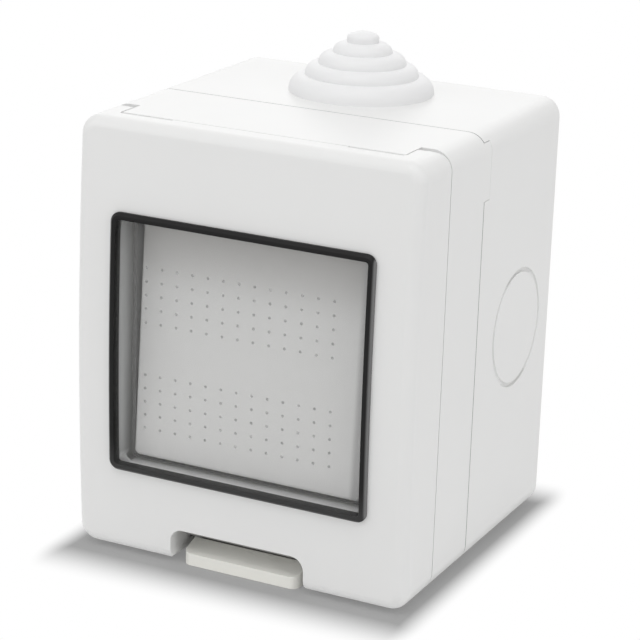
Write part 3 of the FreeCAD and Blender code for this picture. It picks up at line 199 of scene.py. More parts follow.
class Shader:
    """Nodes of a material or a world, with one method that adds any of them."""

    def __init__(self, owner: bpy.types.Material | bpy.types.World) -> None:
        """Empties the node tree of a material or a world.

        Args:
            owner: what the nodes belong to.
        """
        owner.use_nodes = True
        self.owner = owner
        self.tree = owner.node_tree
        self.tree.nodes.clear()

    def node(self, kind: str, settings: dict | None = None, inputs: dict | None = None,
             output: int | str = 0) -> Signal:
        """Adds a node.

        Args:
            kind: the node's type.
            settings: attributes to set first.
            inputs: values or signals by socket name or number.
            output: the name or number of the output that is wanted.

        Returns:
            That output.
        """
        made = self.tree.nodes.new(kind)
        for key, value in (settings or {}).items():
            setattr(made, key, value)
        for key, value in (inputs or {}).items():
            if isinstance(value, Signal):
                self.tree.links.new(value.socket, made.inputs[key])
            else:
                made.inputs[key].default_value = value
        return Signal(self, made.outputs[output] if made.outputs else None)

    def place(self) -> Signal:
        """Position in the model's own frame."""
        return self.node("ShaderNodeTexCoord", output="Object")

    def axis(self, letter: str) -> Signal:
        """One coordinate of the position, by its letter."""
        return self.node("ShaderNodeSeparateXYZ", {}, {0: self.place()}, letter)

    def ramp(self, value: Signal, start: float, end: float) -> Signal:
        """Soft step.

        Args:
            value: what is looked at.
            start: where the step leaves 0.
            end: where it reaches 1, on either side of the start.

        Returns:
            A signal from 0 to 1.
        """
        inputs = {"Value": value, "From Min": start, "From Max": end}
        return self.node("ShaderNodeMapRange", {"interpolation_type": "SMOOTHSTEP"}, inputs)

    def noise(self, scale: float, detail: float = 2.0, roughness: float = 0.5) -> Signal:
        """Adds three-dimensional noise about 0.5.

        Args:
            scale: waves to the metre.
            detail: octaves.
            roughness: how much the finer octaves count.

        Returns:
            The noise's value.
        """
        inputs = {"Vector": self.place(), "Scale": scale, "Detail": detail, "Roughness": roughness}
        return self.node("ShaderNodeTexNoise", {}, inputs, "Fac")

    def mix(self, factor: object, low: "Colour | Signal", high: "Colour | Signal") -> Signal:
        """Blends two colours.

        Args:
            factor: 0 for the first colour and 1 for the second.
            low: the first colour, as a screen shows it, or a signal.
            high: the second colour, as a screen shows it, or a signal.

        Returns:
            The blended colour.
        """
        first, second = (c if isinstance(c, Signal) else linear(c) for c in (low, high))
        inputs = {0: factor, 6: first, 7: second}
        return self.node("ShaderNodeMix", {"data_type": "RGBA"}, inputs, 2)

    def finish(self, surface: Signal) -> "bpy.types.Material | bpy.types.World":
        """Joins the surface to an output.

        Args:
            surface: what is shown.

        Returns:
            The material or world that the nodes belong to.
        """
        target = "World" if isinstance(self.owner, bpy.types.World) else "Material"
        self.node(f"ShaderNodeOutput{target}", {}, {"Surface": surface})
        return self.owner


@dataclass(frozen=True)
class Zone:
    """Part of a piece with painted light or shade in another tone, such as the shade in a recess.

    Attributes:
        colour: its painted tone.
        across: least and greatest distance from the middle plane.
        depth: least and greatest distance from the wall.
        height: least and greatest height.
        blur: width of its soft edge.
        right: least X, for a zone on the right side alone.
    """

    colour: Colour
    across: Point = (-ANY, ANY)
    depth: Point = (-ANY, ANY)
    height: Point = (-ANY, ANY)
    blur: float = 0.4 * MM
    right: float = -ANY

    def factor(self, shader: Shader) -> "Signal | float":
        """Works out how much of the zone's tone each point shows.

        Args:
            shader: what the nodes are added to.

        Returns:
            The share, from 0 to 1.
        """
        spans: tuple[tuple[Callable[[], Signal], Point], ...] = (
            (lambda: abs(shader.axis("X")), self.across),
            (lambda: shader.axis("Y") * -1.0, self.depth),
            (lambda: shader.axis("Z"), self.height),
            (lambda: shader.axis("X"), (self.right, ANY)),
        )
        share: "Signal | float" = 1.0
        for measure, limits in spans:
            for limit, half in zip(limits, (self.blur / 2, -self.blur / 2)):
                if math.isfinite(limit):
                    share = share * shader.ramp(measure(), limit - half, limit + half)
        return share


@dataclass(frozen=True)
class Moulding:
    """Injection-moulded plastic or rubber with a spark-eroded grain.

    Attributes:
        name: the material's name.
        colour: its colour.
        drift: how far the colour wanders over the surface.
        roughness: mean roughness.
        spread: how far the roughness wanders.
        grain: waves of the grain to the metre.
        depth: depth of the grain in metres.
        relief: strength of the grain's bump.
        specular: strength of the reflection.
        clouds: waves of the wandering colour to the metre.
        patches: waves of the wandering roughness to the metre.
        zones: parts with painted light or shade in another tone.
    """

    name: str
    colour: Colour
    drift: float = 0.006
    roughness: float = 0.36
    spread: float = 0.06
    grain: float = 2600.0
    depth: float = 0.005 * MM
    relief: float = 0.5
    specular: float = 0.45
    clouds: float = 45.0
    patches: float = 160.0
    zones: tuple[Zone, ...] = ()

    def material(self) -> bpy.types.Material:
        """Builds the finish.

        Returns:
            Its material.
        """
        shader = Shader(bpy.data.materials.new(self.name))
        clouds = shader.noise(self.clouds, detail=3.0)
        light = tuple(min(c + self.drift, 1.0) for c in self.colour)
        dark = tuple(c - self.drift for c in self.colour)
        tone = shader.mix(clouds, dark, light)
        # Painted light and shade: each zone blends its own tone in over the colour.
        for zone in self.zones:
            tone = shader.mix(zone.factor(shader), tone, zone.colour)
        grain = shader.noise(self.grain, roughness=0.6)
        patches = shader.noise(self.patches)
        bump = shader.node("ShaderNodeBump", {},
                           {"Strength": self.relief, "Distance": self.depth, "Height": grain})
        surface = shader.node("ShaderNodeBsdfPrincipled", {}, {
            "Base Color": tone,
            "Roughness": self.roughness - self.spread / 2 + patches * self.spread,
            "Specular IOR Level": self.specular,
            "Normal": bump,
        })
        return shader.finish(surface)


@dataclass(frozen=True)
class Metal:
    """Plated or bare metal with fine drawing marks.

    Attributes:
        name: the material's name.
        colour: its colour.
        roughness: mean roughness.
        spread: how far the roughness wanders.
        worn: share of the colour that is left where it is most worn.
        marks: waves of the drawing marks to the metre.
        wear: waves of the wear to the metre.
        depth: depth of the marks in metres.
        relief: strength of the marks' bump.
    """

    name: str
    colour: Colour
    roughness: float = 0.32
    spread: float = 0.16
    worn: float = 0.86
    marks: float = 900.0
    wear: float = 120.0
    depth: float = 0.01 * MM
    relief: float = 0.3

    def material(self) -> bpy.types.Material:
        """Builds the finish.

        Returns:
            Its material.
        """
        shader = Shader(bpy.data.materials.new(self.name))
        marks = shader.noise(self.marks, detail=4.0, roughness=0.7)
        worn = shader.noise(self.wear)
        dark = tuple(c * self.worn for c in self.colour)
        bump = shader.node("ShaderNodeBump", {},
                           {"Strength": self.relief, "Distance": self.depth, "Height": marks})
        surface = shader.node("ShaderNodeBsdfPrincipled", {}, {
            "Base Color": shader.mix(worn, dark, self.colour),
            "Metallic": 1.0,
            "Roughness": self.roughness - self.spread / 2 + worn * self.spread,
            "Normal": bump,
        })
        return shader.finish(surface)


@dataclass(frozen=True)
class ClearSheet:
    """Clear soft sheet that shows what is behind it and glosses at a grazing view.

    Attributes:
        name: the material's name.
        colour: what the sheet adds to what is behind it.
        veil: how much it hides, seen square on.
        rim: how much more it hides at a grazing view.
        speck: how much of it is broken up by pale specks, which are painted glints.
        speck_colour: colour of the specks, the painted glints.
        speck_edge: noise at which a speck begins and at which it is full.
        specks: waves of the specks to the metre.
        turn: how grazing a view has to be.
        curve: power of the growth towards a grazing view.
        roughness: least roughness.
        spread: how far the roughness wanders above it.
        waves: waves of the surface to the metre.
        depth: depth of the waves in metres.
        relief: strength of the waves' bump.
    """

    name: str
    colour: Colour
    veil: float = 0.08
    rim: float = 0.5
    speck: float = 0.0
    speck_colour: Colour = (0.86, 0.86, 0.86)
    speck_edge: Point = (0.5, 0.62)
    specks: float = 3600.0
    turn: float = 0.3
    curve: float = 2.5
    roughness: float = 0.12
    spread: float = 0.06
    waves: float = 70.0
    depth: float = 0.1 * MM
    relief: float = 0.4

    def material(self) -> bpy.types.Material:
        """Builds the finish.

        Returns:
            Its material.
        """
        shader = Shader(bpy.data.materials.new(self.name))
        facing = shader.node("ShaderNodeLayerWeight", {}, {"Blend": self.turn}, "Facing")
        waves = shader.noise(self.waves)
        # Painted glints: pale specks mixed into the colour.
        specks = shader.ramp(shader.noise(self.specks, detail=1.0), *self.speck_edge) * self.speck
        bump = shader.node("ShaderNodeBump", {},
                           {"Strength": self.relief, "Distance": self.depth, "Height": waves})
        surface = shader.node("ShaderNodeBsdfPrincipled", {}, {
            "Base Color": shader.mix(specks, self.colour, self.speck_colour),
            "Roughness": self.roughness + waves * self.spread,
            "Alpha": self.veil + facing ** self.curve * self.rim,
            "Normal": bump,
        })
        return shader.finish(surface)


class Finishes:
    """Every finish of the switch, each made once.

    The zones are painted light and shade. Painted shade lies in the seam, in the knock-outs'
    grooves at their top and foot, in the well round the key, in the latch's recess and notch,
    and on the key's top and right side. Painted light lies on the foot of the window's ring and
    of the collar seal, and a painted reflection on the ring's outer sides. The membrane's dots
    carry painted shade and pale painted glints.
    """

    WHITE = (0.925, 0.925, 0.922)

    # Painted shade: a thin darker band in the seam just before the box's rim.
    SEAM_SHADE = Zone((0.66, 0.66, 0.655), blur=0.04 * MM,
                depth=(CASE.box_rim - 0.18 * MM, CASE.box_rim + 0.1 * MM))
    # Painted shade: the knock-outs' grooves darker at their top and at their foot.
    GROOVE_TOP_SHADE = Zone((0.875, 0.875, 0.87), blur=0.1 * MM,
                      across=(CASE.half_width - 2.1 * MM, CASE.half_width - 0.12 * MM),
                      depth=(CASE.knockout_y - 12.5 * MM, CASE.knockout_y + 12.5 * MM),
                      height=(CASE.knockout_radius - 2.2 * MM, CASE.knockout_radius + 1.8 * MM))
    GROOVE_FOOT_SHADE = replace(GROOVE_TOP_SHADE, height=(-CASE.knockout_radius - 1.8 * MM,
                                              -CASE.knockout_radius + 1.6 * MM))
    # Painted shade: the frame dark grey in the well round the key.
    WELL_SHADE = Zone((0.44, 0.44, 0.44), blur=0.3 * MM,
                across=(-ANY, CASE.window_half_x + 0.15 * MM),
                depth=(CASE.lid_front - 12.3 * MM, CASE.lid_front - 3.3 * MM),
                height=(CASE.window_foot - 1.3 * MM, CASE.window_top + 1.3 * MM))
    # Painted shade: the frame greyer in the latch's recess.
    RECESS_SHADE = Zone((0.74, 0.74, 0.73),
                  across=(-ANY, 16.0 * MM),
                  depth=(CASE.lid_front - 9.3 * MM, CASE.lid_front - 4.8 * MM),
                  height=(-CASE.half_height + 2.0 * MM, -CASE.half_height + 10.0 * MM))
    # Painted shade: the lid greyer in its finger notch over the latch.
    NOTCH_SHADE = Zone((0.7, 0.7, 0.69), blur=1.6 * MM,
                 across=(-ANY, 13.2 * MM),
                 depth=(CASE.lid_front - 8.3 * MM, CASE.lid_front - 1.7 * MM),
                 height=(-CASE.half_height + 1.6 * MM, -CASE.half_height + 10.0 * MM))
    # Painted shadow: the key darker towards its top, under the window's upper edge.
    KEY_TOP_SHADE = Zone((0.79, 0.785, 0.778), blur=13.0 * MM, height=(14.0 * MM, ANY))
    # Painted shade: the key darker along its right edge.
    KEY_SIDE_SHADE = Zone((0.72, 0.72, 0.72), blur=1.3 * MM, right=20.8 * MM)
    # Painted light: the ring paler towards its foot.
    RING_FOOT_LIGHT = Zone((0.23, 0.23, 0.23), blur=8.0 * MM, height=(-ANY, CASE.window_foot + 1.8 * MM))
    # Painted reflection: the ring's outer strips at the left and right paler.
    RING_SIDE_REFLECTION = Zone((0.46, 0.46, 0.46), across=(CASE.window_half_x + 0.95 * MM, ANY))
    # Painted light: the collar seal paler towards its foot.
    SEAL_FOOT_LIGHT = Zone((0.93, 0.93, 0.93), blur=1.0 * MM, height=(-ANY, CASE.window_foot + 1.3 * MM))

    HOUSING = Moulding("housing_plastic", WHITE, zones=(SEAM_SHADE, GROOVE_TOP_SHADE, GROOVE_FOOT_SHADE))
    FRAME = Moulding("frame_plastic", WHITE, zones=(WELL_SHADE, RECESS_SHADE))
    LID = Moulding("lid_plastic", WHITE, zones=(NOTCH_SHADE,))
    KEY = Moulding("key_plastic", (0.9, 0.9, 0.897), roughness=0.38, zones=(KEY_TOP_SHADE, KEY_SIDE_SHADE))
    TAB = Moulding("tab_plastic", (0.945, 0.942, 0.918))
    MODULE = Moulding("inner_plastic", (0.88, 0.88, 0.87), roughness=0.5)
    GROMMET = Moulding("grommet_rubber", (0.938, 0.938, 0.94), roughness=0.5, specular=0.35)
    RING = Moulding("ring_rubber", (0.1, 0.098, 0.098), roughness=0.42, drift=0.01, specular=0.16,
                    zones=(RING_FOOT_LIGHT, RING_SIDE_REFLECTION))
    SEAL = Moulding("seal_rubber", (0.75, 0.755, 0.755), roughness=0.6, zones=(SEAL_FOOT_LIGHT,))
    GASKET = Moulding("gasket_rubber", (0.5, 0.5, 0.49), roughness=0.6)
    SHEET = ClearSheet("membrane_sheet", (0.8, 0.8, 0.79))
    # Painted shade and glints: the domes dark grey with pale specks, for the light their curved
    # faces bend.
    DOT_SHADE_AND_GLINT = ClearSheet("membrane_dot", (0.36, 0.36, 0.36), veil=0.55, rim=0.4, speck=0.6)
    STEEL = Metal("zinc_steel", (0.72, 0.72, 0.71))
    BRASS = Metal("bare_brass", (0.8, 0.66, 0.4))
    SILVER = Metal("contact_silver", (0.86, 0.86, 0.84), roughness=0.22)

    def __init__(self) -> None:
        """Starts with no material made."""
        self._made: dict[str, bpy.types.Material] = {}

    def get(self, finish: "Moulding | Metal | ClearSheet") -> bpy.types.Material:
        """Hands over a finish's material, and makes it the first time.

        Args:
            finish: one of the finishes above.

        Returns:
            Its material.
        """
        if finish.name not in self._made:
            self._made[finish.name] = finish.material()
        return self._made[finish.name]


@dataclass
class Front:
    """The lid's bulged front surface, an arc from its bottom to its top.

    Attributes:
        half_height: from the middle of the lid to its top.
        edge: distance of the surface from the wall at the lid's top and bottom.
        bulge: how far the middle stands before the edges.
    """

    half_height: float = CASE.half_height
    edge: float = CASE.lid_front
    bulge: float = CASE.bulge

    def at(self, z: float) -> float:
        """Y of the surface at a height."""
        radius = (self.half_height ** 2 + self.bulge ** 2) / (2 * self.bulge)
        return -(self.edge + self.bulge) + radius - math.sqrt(radius ** 2 - z ** 2)


def rounded_section(corners: Sequence[tuple[float, float, float]], steps: int = 5) -> list[Point]:
    """Rounds the corners of a closed section.

    Args:
        corners: (across, up, radius) of each corner in turn, with a radius of 0 for a sharp one.
        steps: points on each rounded corner.

    Returns:
        The section's points.
    """
    points: list[Point] = []
    count = len(corners)
    for index, (across, up, radius) in enumerate(corners):
        here = Vector((across, up))
        before = Vector(corners[index - 1][:2]) - here
        after = Vector(corners[(index + 1) % count][:2]) - here
        if not radius:
            points.append((across, up))
            continue
        opening = before.angle(after)
        reach = radius / math.tan(opening / 2)
        start = here + before.normalized() * reach
        end = here + after.normalized() * reach
        inward = (before.normalized() + after.normalized()).normalized()
        middle = here + inward * (radius / math.sin(opening / 2))
        first, last = start - middle, end - middle
        sweep = math.pi - opening
        turn = 1.0 if first.x * last.y - first.y * last.x > 0 else -1.0
        for step in range(steps + 1):
            angle = turn * sweep * step / steps
            cosine, sine = math.cos(angle), math.sin(angle)
            spot = Vector((first.x * cosine - first.y * sine, first.x * sine + first.y * cosine))
            points.append(tuple(middle + spot))
    return points


def rounded_loop(half_x: float, half_z: float, radius: float, centre_z: float, steps: int = 6,
                 along: int = 10) -> list[Point]:
    """Closed loop of a rounded rectangle seen from the front.

    Args:
        half_x: half of its width.
        half_z: half of its height.
        radius: its corners' radius.
        centre_z: height of its middle.
        steps: parts of each corner.
        along: parts of each straight side.

    Returns:
        (x, z) points, counter-clockwise from the lower right corner.
    """
    loop: list[Point] = []
    signs = ((1, -1), (1, 1), (-1, 1), (-1, -1))
    for index, (sign_x, sign_z) in enumerate(signs):
        middle = Vector((sign_x * (half_x - radius), centre_z + sign_z * (half_z - radius)))
        start = -math.pi / 2 + index * math.pi / 2
        for step in range(steps + 1):
            angle = start + math.pi / 2 * step / steps
            loop.append((middle.x + radius * math.cos(angle), middle.y + radius * math.sin(angle)))
        next_x, next_z = signs[(index + 1) % 4]
        angle = start + math.pi / 2
        ahead = Vector((next_x * (half_x - radius), centre_z + next_z * (half_z - radius)))
        ahead += radius * Vector((math.cos(angle), math.sin(angle)))
        last = Vector(loop[-1])
        for step in range(1, along):
            loop.append(tuple(last.lerp(ahead, step / along)))
    return loop


def new_piece(name: str, mesh: bmesh.types.BMesh, materials: Sequence[bpy.types.Material],
              body: Body, replaces: Sequence[str],
              crease: float = 40.0) -> bpy.types.Object:
    """Makes an object of a mesh, dresses it and lets it ride.

    Args:
        name: the piece's name.
        mesh: its mesh, which is freed.
        materials: its materials.
        body: what it moves with.
        replaces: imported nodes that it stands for.
        crease: edges that bend by more degrees than this stay sharp.

    Returns:
        The object.
    """
    bmesh.ops.recalc_face_normals(mesh, faces=mesh.faces)
    data = bpy.data.meshes.new(name)
    mesh.to_mesh(data)
    mesh.free()
    for material in materials:
        data.materials.append(material)
    piece = bpy.data.objects.new(name, data)
    bpy.context.scene.collection.objects.link(piece)
    soften(piece, crease)
    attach(piece, body.value)
    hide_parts(*replaces)
    log.info("%s: %d faces, rides on %s", name, len(data.polygons), body.value)
    return piece


def soften(piece: bpy.types.Object, crease: float) -> None:
    """Shades a piece smooth between its sharp edges.

    Args:
        piece: the object.
        crease: the least bend of a sharp edge, in degrees.
    """
    data = piece.data
    data.polygons.foreach_set("use_smooth", [True] * len(data.polygons))
    mesh = bmesh.new()
    mesh.from_mesh(data)
    limit = math.radians(crease)
    sharp = [edge.calc_face_angle(math.pi) > limit for edge in mesh.edges]
    mesh.free()
    data.attributes.new("sharp_edge", "BOOLEAN", "EDGE").data.foreach_set("value", sharp)
    data.update()


@dataclass
class Edge:
    """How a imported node's edges are eased for the picture.

    Attributes:
        width: width of the eased edge.
        crease: edges that bend by more degrees than this are eased.
        segments: strips across the eased edge.
    """

    width: float = 0.15 * MM
    crease: float = 38.0
    segments: int = 2


def dress(node: str, material: bpy.types.Material, edge: Edge | None = None) -> bpy.types.Object:
    """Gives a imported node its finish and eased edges.

    Args:
        node: the node's name.
        material: its finish.
        edge: how its edges are eased, if they are.

    Returns:
        The node's object.
    """
    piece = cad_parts[node]
    if not piece.material_slots:
        piece.data.materials.append(material)
    for slot in piece.material_slots:
        slot.material = material
    data = piece.data
    if data.has_custom_normals:
        with bpy.context.temp_override(object=piece, active_object=piece, selected_objects=[piece]):
            bpy.context.view_layer.objects.active = piece
            bpy.ops.mesh.customdata_custom_splitnormals_clear()
    weld = piece.modifiers.new("weld", "WELD")
    weld.merge_threshold = WELD_REACH
    flat = piece.modifiers.new("flat", "DECIMATE")
    flat.decimate_type = "DISSOLVE"
    flat.angle_limit = math.radians(FLAT_ANGLE)
    if edge:
        bevel = piece.modifiers.new("edge", "BEVEL")
        bevel.width = edge.width
        bevel.segments = edge.segments
        bevel.limit_method = "ANGLE"
        bevel.angle_limit = math.radians(edge.crease)
        bevel.use_clamp_overlap = True
        bevel.miter_outer = "MITER_ARC"
    data.polygons.foreach_set("use_smooth", [True] * len(data.polygons))
    data.update()
    smooth = piece.modifiers.new("normals", "WEIGHTED_NORMAL")
    smooth.keep_sharp = True
    smooth.weight = NORMAL_WEIGHT
    log.info("%s: packed node dressed in %s", node, material.name)
    return piece


def loft(mesh: bmesh.types.BMesh, rings: Sequence[Sequence[Vector]],
         gap: int | None = None) -> list[list[bmesh.types.BMVert]]:
    """Joins each ring of points to the next by a strip of faces, and the last to the first.

    Args:
        mesh: what the faces are added to.
        rings: rings of as many points each.
        gap: number of the ring after which no strip is laid, if there is one.

    Returns:
        The rings' vertices.
    """
    rows = [[mesh.verts.new(point) for point in ring] for ring in rings]
    for number, lower in enumerate(rows):
        if number == gap:
            continue
        upper = rows[(number + 1) % len(rows)]
        for index in range(len(lower)):
            following = (index + 1) % len(lower)
            mesh.faces.new((lower[index], lower[following], upper[following], upper[index]))
    return rows


@dataclass
class Enclosure:
    """Rear box, middle frame and the cable grommet in the top.

    Attributes:
        finishes: the switch's finishes.
        edge: width of the shells' eased edges.
        grommet_y: Y of the grommet's axis.
        top: height of the box's top.
        steps: (radius, height above the top) of the grommet's steps, in millimetres.
        inside: (radius, height above the top) of its inside, from the tip's hollow down and out to
            the groove that grips the box, in millimetres.
        tip_radius: radius of the closed tip, in millimetres.
        tip_height: height of the tip above the top, in millimetres.
        tip_dome: height of the tip's domed end, in millimetres.
        fullness: power of the curve that each step follows, from 2 for an ellipse.
        axis_reach: least radius of a ring, in millimetres; what is nearer to the axis is capped.
        parts: parts of each step's curve.
        segments: points round the grommet.
    """

    finishes: Finishes
    edge: float = 0.12 * MM
    grommet_y: float = -16.7 * MM
    top: float = CASE.half_height
    steps: tuple[Point, ...] = ((13.4, 3.1), (10.5, 5.2), (8.1, 7.3), (5.5, 9.15))
    inside: tuple[Point, ...] = ((1.45, 9.55), (1.45, 8.4), (9.4, 2.1), (9.4, -3.8), (11.7, -3.8),
                                 (12.4, -3.1), (12.4, -2.2), (10.95, -2.2), (10.95, 0.0))
    tip_radius: float = 2.95
    tip_height: float = 11.05
    tip_dome: float = 1.1
    fullness: float = 2.1
    axis_reach: float = 0.001
    parts: int = 10
    segments: int = 144

    def grommet(self) -> bpy.types.Object:
        """Turns the stepped cone as one closed soft moulding.

        Returns:
            The grommet.
        """
        section: list[Point] = []
        foot = 0.0
        for index, (radius, height) in enumerate(self.steps):
            inner = self.steps[index + 1][0] if index + 1 < len(self.steps) else self.tip_radius
            section += self._lobe(radius, inner, foot, height)
            foot = height
        tip_foot = self.tip_height - self.tip_dome
        section += self._lobe(self.tip_radius, 0.0, tip_foot, self.tip_height)
        section = [spot for spot in section if spot[0] > self.axis_reach]
        tip = len(section) - 1
        mesh = bmesh.new()
        rows = loft(mesh, [self._ring(*spot) for spot in (*section, *self.inside)], tip)
        self._cap(mesh, rows[tip], self.tip_height)
        self._cap(mesh, rows[tip + 1], self.inside[0][1])
        materials = [self.finishes.get(Finishes.GROMMET)]
        return new_piece("stepped_grommet", mesh, materials, Body.HOUSING, ["cable_grommet"])

    def _lobe(self, outer: float, inner: float, foot: float, height: float) -> list[Point]:
        """Full curve that rises from an upright foot and lies flat where it meets the next step.

        Args:
            outer: its radius at the foot.
            inner: its radius at the top.
            foot: height of the foot.
            height: height of the top.

        Returns:
            (radius, height) points.
        """
        points = []
        for part in range(self.parts + 1):
            angle = math.pi / 2 * part / self.parts
            across = max(math.cos(angle), 0.0) ** (2 / self.fullness)
            up = math.sin(angle) ** (2 / self.fullness)
            points.append((inner + (outer - inner) * across, foot + (height - foot) * up))
        return points

    def _ring(self, radius: float, height: float) -> list[Vector]:
        """Lays points round the grommet's axis.

        Args:
            radius: their distance from it, in millimetres.
            height: their height above the top, in millimetres.

        Returns:
            The points, in metres.
        """
        ring = []
        for index in range(self.segments):
            angle = 2 * math.pi * index / self.segments
            y = self.grommet_y + radius * MM * math.sin(angle)
            ring.append(Vector((radius * MM * math.cos(angle), y, self.top + height * MM)))
        return ring

    def _cap(self, mesh: bmesh.types.BMesh, ring: Sequence[bmesh.types.BMVert],
             height: float) -> None:
        """Closes a ring with a point on the axis.

        Args:
            mesh: what the faces are added to.
            ring: the ring's vertices.
            height: height of the point above the top, in millimetres.
        """
        centre = mesh.verts.new((0, self.grommet_y, self.top + height * MM))
        for index in range(self.segments):
            mesh.faces.new((ring[index], ring[(index + 1) % self.segments], centre))

    def build(self) -> None:
        """Dresses the fixed shells and makes the grommet."""
        dress("rear_box", self.finishes.get(Finishes.HOUSING), Edge(self.edge))
        dress("front_frame", self.finishes.get(Finishes.FRAME), Edge(self.edge))
        dress("box_gasket", self.finishes.get(Finishes.GASKET))
        dress("frame_screws", self.finishes.get(Finishes.STEEL))
        self.grommet()


@dataclass
class Cover:
    """Hinged lid with its window.

    Attributes:
        finishes: the switch's finishes.
        front: the surface that the window lies in.
        edge: width of the lid's eased edges.
        window_z: height of the window's middle.
        half_x: half of the opening's width inside the ring.
        half_z: half of the opening's height inside the ring.
        corner: radius of the opening's corners.
        ring_width: width of the ring's face.
        ring_height: how far the ring stands before the lid.
        ring_round: radius of the ring's edges.
        ring_slope: how far its outer edge slopes.
        web: thickness of the ring's web through the lid.
        web_depth: how far the web reaches into the lid.
        sheet: thickness of the membrane.
        sheet_crease: edges of the membrane that bend by more degrees than this stay sharp.
        grip: how far the membrane reaches under the ring.
        columns: dots in a row.
        rows: rows in each of the two fields.
        pitch_x: from dot to dot in a row.
        pitch_z: from row to row.
        first_row: from the window's middle to a field's nearest row.
        dot_radius: radius of a dot.
        dot_height: height of a dot.
        dot_points: points round a dot.
        dot_levels: (radius, height) of the rings of a dot, as shares of its own.
    """

    finishes: Finishes
    front: Front = field(default_factory=Front)
    edge: float = 0.18 * MM
    window_z: float = CASE.window_z
    half_x: float = CASE.window_half_x
    half_z: float = CASE.window_half_z
    corner: float = 0.55 * MM
    ring_width: float = 1.25 * MM
    ring_height: float = 1.0 * MM
    ring_round: float = 0.2 * MM
    ring_slope: float = 0.5 * MM
    web: float = 0.6 * MM
    web_depth: float = 0.9 * MM
    sheet: float = 0.7 * MM
    sheet_crease: float = 60.0
    grip: float = 0.25 * MM
    columns: int = 13
    rows: int = 5
    pitch_x: float = 3.04 * MM
    pitch_z: float = 2.5 * MM
    first_row: float = 4.85 * MM
    dot_radius: float = 0.45 * MM
    dot_height: float = 0.26 * MM
    dot_points: int = 12
    dot_levels: tuple[Point, ...] = ((1.0, 0.0), (0.85, 0.4), (0.62, 0.72), (0.35, 0.93))

    def _loop(self, out: float, height: float) -> list[Vector]:
        """Loop round the window at an offset outward and a height over the front."""
        loop = rounded_loop(self.half_x + out, self.half_z + out, self.corner + out, self.window_z)
        return [Vector((x, self.front.at(z) - height, z)) for x, z in loop]

    def ring(self) -> bpy.types.Object:
        """Lofts the dark rubber ring round the window, with its web through the lid.

        Returns:
            The ring.
        """
        top = self.ring_height
        corners = [
            (0.0, -self.web_depth, 0.0),
            (self.web, -self.web_depth, 0.0),
            (self.web, 0.0, 0.0),
            (self.ring_width, 0.0, 0.0),
            (self.ring_width, top - self.ring_slope, self.ring_round),
            (self.ring_width - self.ring_slope, top, self.ring_round),
            (0.0, top, self.ring_round),
        ]
        mesh = bmesh.new()
        loft(mesh, [self._loop(out, height) for out, height in rounded_section(corners)])
        materials = [self.finishes.get(Finishes.RING)]
        return new_piece("window_ring", mesh, materials, Body.LID, ["window_seal"])

    def membrane(self) -> bpy.types.Object:
        """Makes the clear sheet, whose front carries two fields of small domes.

        Returns:
            The sheet.
        """
        mesh = bmesh.new()
        self._sheet(mesh)
        materials = [self.finishes.get(Finishes.SHEET), self.finishes.get(Finishes.DOT_SHADE_AND_GLINT)]
        return new_piece("clear_membrane", mesh, materials, Body.LID, ["window_membrane"],
                         self.sheet_crease)

    def _sheet(self, mesh: bmesh.types.BMesh) -> None:
        """Adds the sheet's front with its domes, its rim and its back.

        Args:
            mesh: what the faces are added to.
        """
        wide = self.half_x + self.grip
        tall = self.half_z + self.grip
        columns = [-wide]
        columns += [(i - self.columns / 2) * self.pitch_x for i in range(self.columns + 1)]
        columns.append(wide)
        half_rows = [self.first_row + (i - 0.5) * self.pitch_z for i in range(self.rows + 1)]
        heights = [-tall, *[-z for z in reversed(half_rows)], *half_rows, tall]
        front, back = ([[mesh.verts.new(self._on_front(x, z + self.window_z, rise))
                         for x in columns] for z in heights] for rise in (0.0, -self.sheet))
        for row in range(len(heights) - 1):
            for column in range(len(columns) - 1):
                corners = (front[row][column], front[row][column + 1], front[row + 1][column + 1],
                           front[row + 1][column])
                field_row = row not in (0, self.rows + 1, 2 * self.rows + 2)
                if field_row and 1 <= column <= self.columns:
                    x = (columns[column] + columns[column + 1]) / 2
                    z = (heights[row] + heights[row + 1]) / 2
                    self._dome(mesh, corners, x, z + self.window_z)
                else:
                    mesh.faces.new(corners)
                mesh.faces.new((back[row][column], back[row + 1][column], back[row + 1][column + 1],
                                back[row][column + 1]))
        self._rim(mesh, front, back)

    def _rim(self, mesh: bmesh.types.BMesh, front: list, back: list) -> None:
        """Closes the sheet's edge.

        Args:
            mesh: what the faces are added to.
            front: rows of the front's vertices.
            back: rows of the back's vertices.
        """
        outline = [(0, c) for c in range(len(front[0]))]
        outline += [(r, len(front[0]) - 1) for r in range(1, len(front))]
        outline += [(len(front) - 1, c) for c in range(len(front[0]) - 2, -1, -1)]
        outline += [(r, 0) for r in range(len(front) - 2, 0, -1)]
        for index, (row, column) in enumerate(outline):
            following = outline[(index + 1) % len(outline)]
            mesh.faces.new((front[row][column], front[following[0]][following[1]],
                            back[following[0]][following[1]], back[row][column]))

    def _dome(self, mesh: bmesh.types.BMesh, corners: tuple, x: float, z: float) -> None:
        """Fills one cell of the sheet with a low dome.

        Args:
            mesh: what the faces are added to.
            corners: the cell's corners, counter-clockwise from the lower left.
            x: the dome's middle.
            z: the dome's height.
        """
        around = self.dot_points
        rings = []
        for share, rise in self.dot_levels:
            ring = []
            for index in range(around):
                angle = 2 * math.pi * (index + 0.5) / around - math.pi * 0.75
                across = share * self.dot_radius * math.cos(angle)
                up = share * self.dot_radius * math.sin(angle)
                spot = self._on_front(x + across, z + up, rise * self.dot_height)
                ring.append(mesh.verts.new(spot))
            rings.append(ring)
        for level, (lower, upper) in enumerate(zip(rings, rings[1:])):
            for index in range(around):
                nxt = (index + 1) % around
                face = mesh.faces.new((lower[index], lower[nxt], upper[nxt], upper[index]))
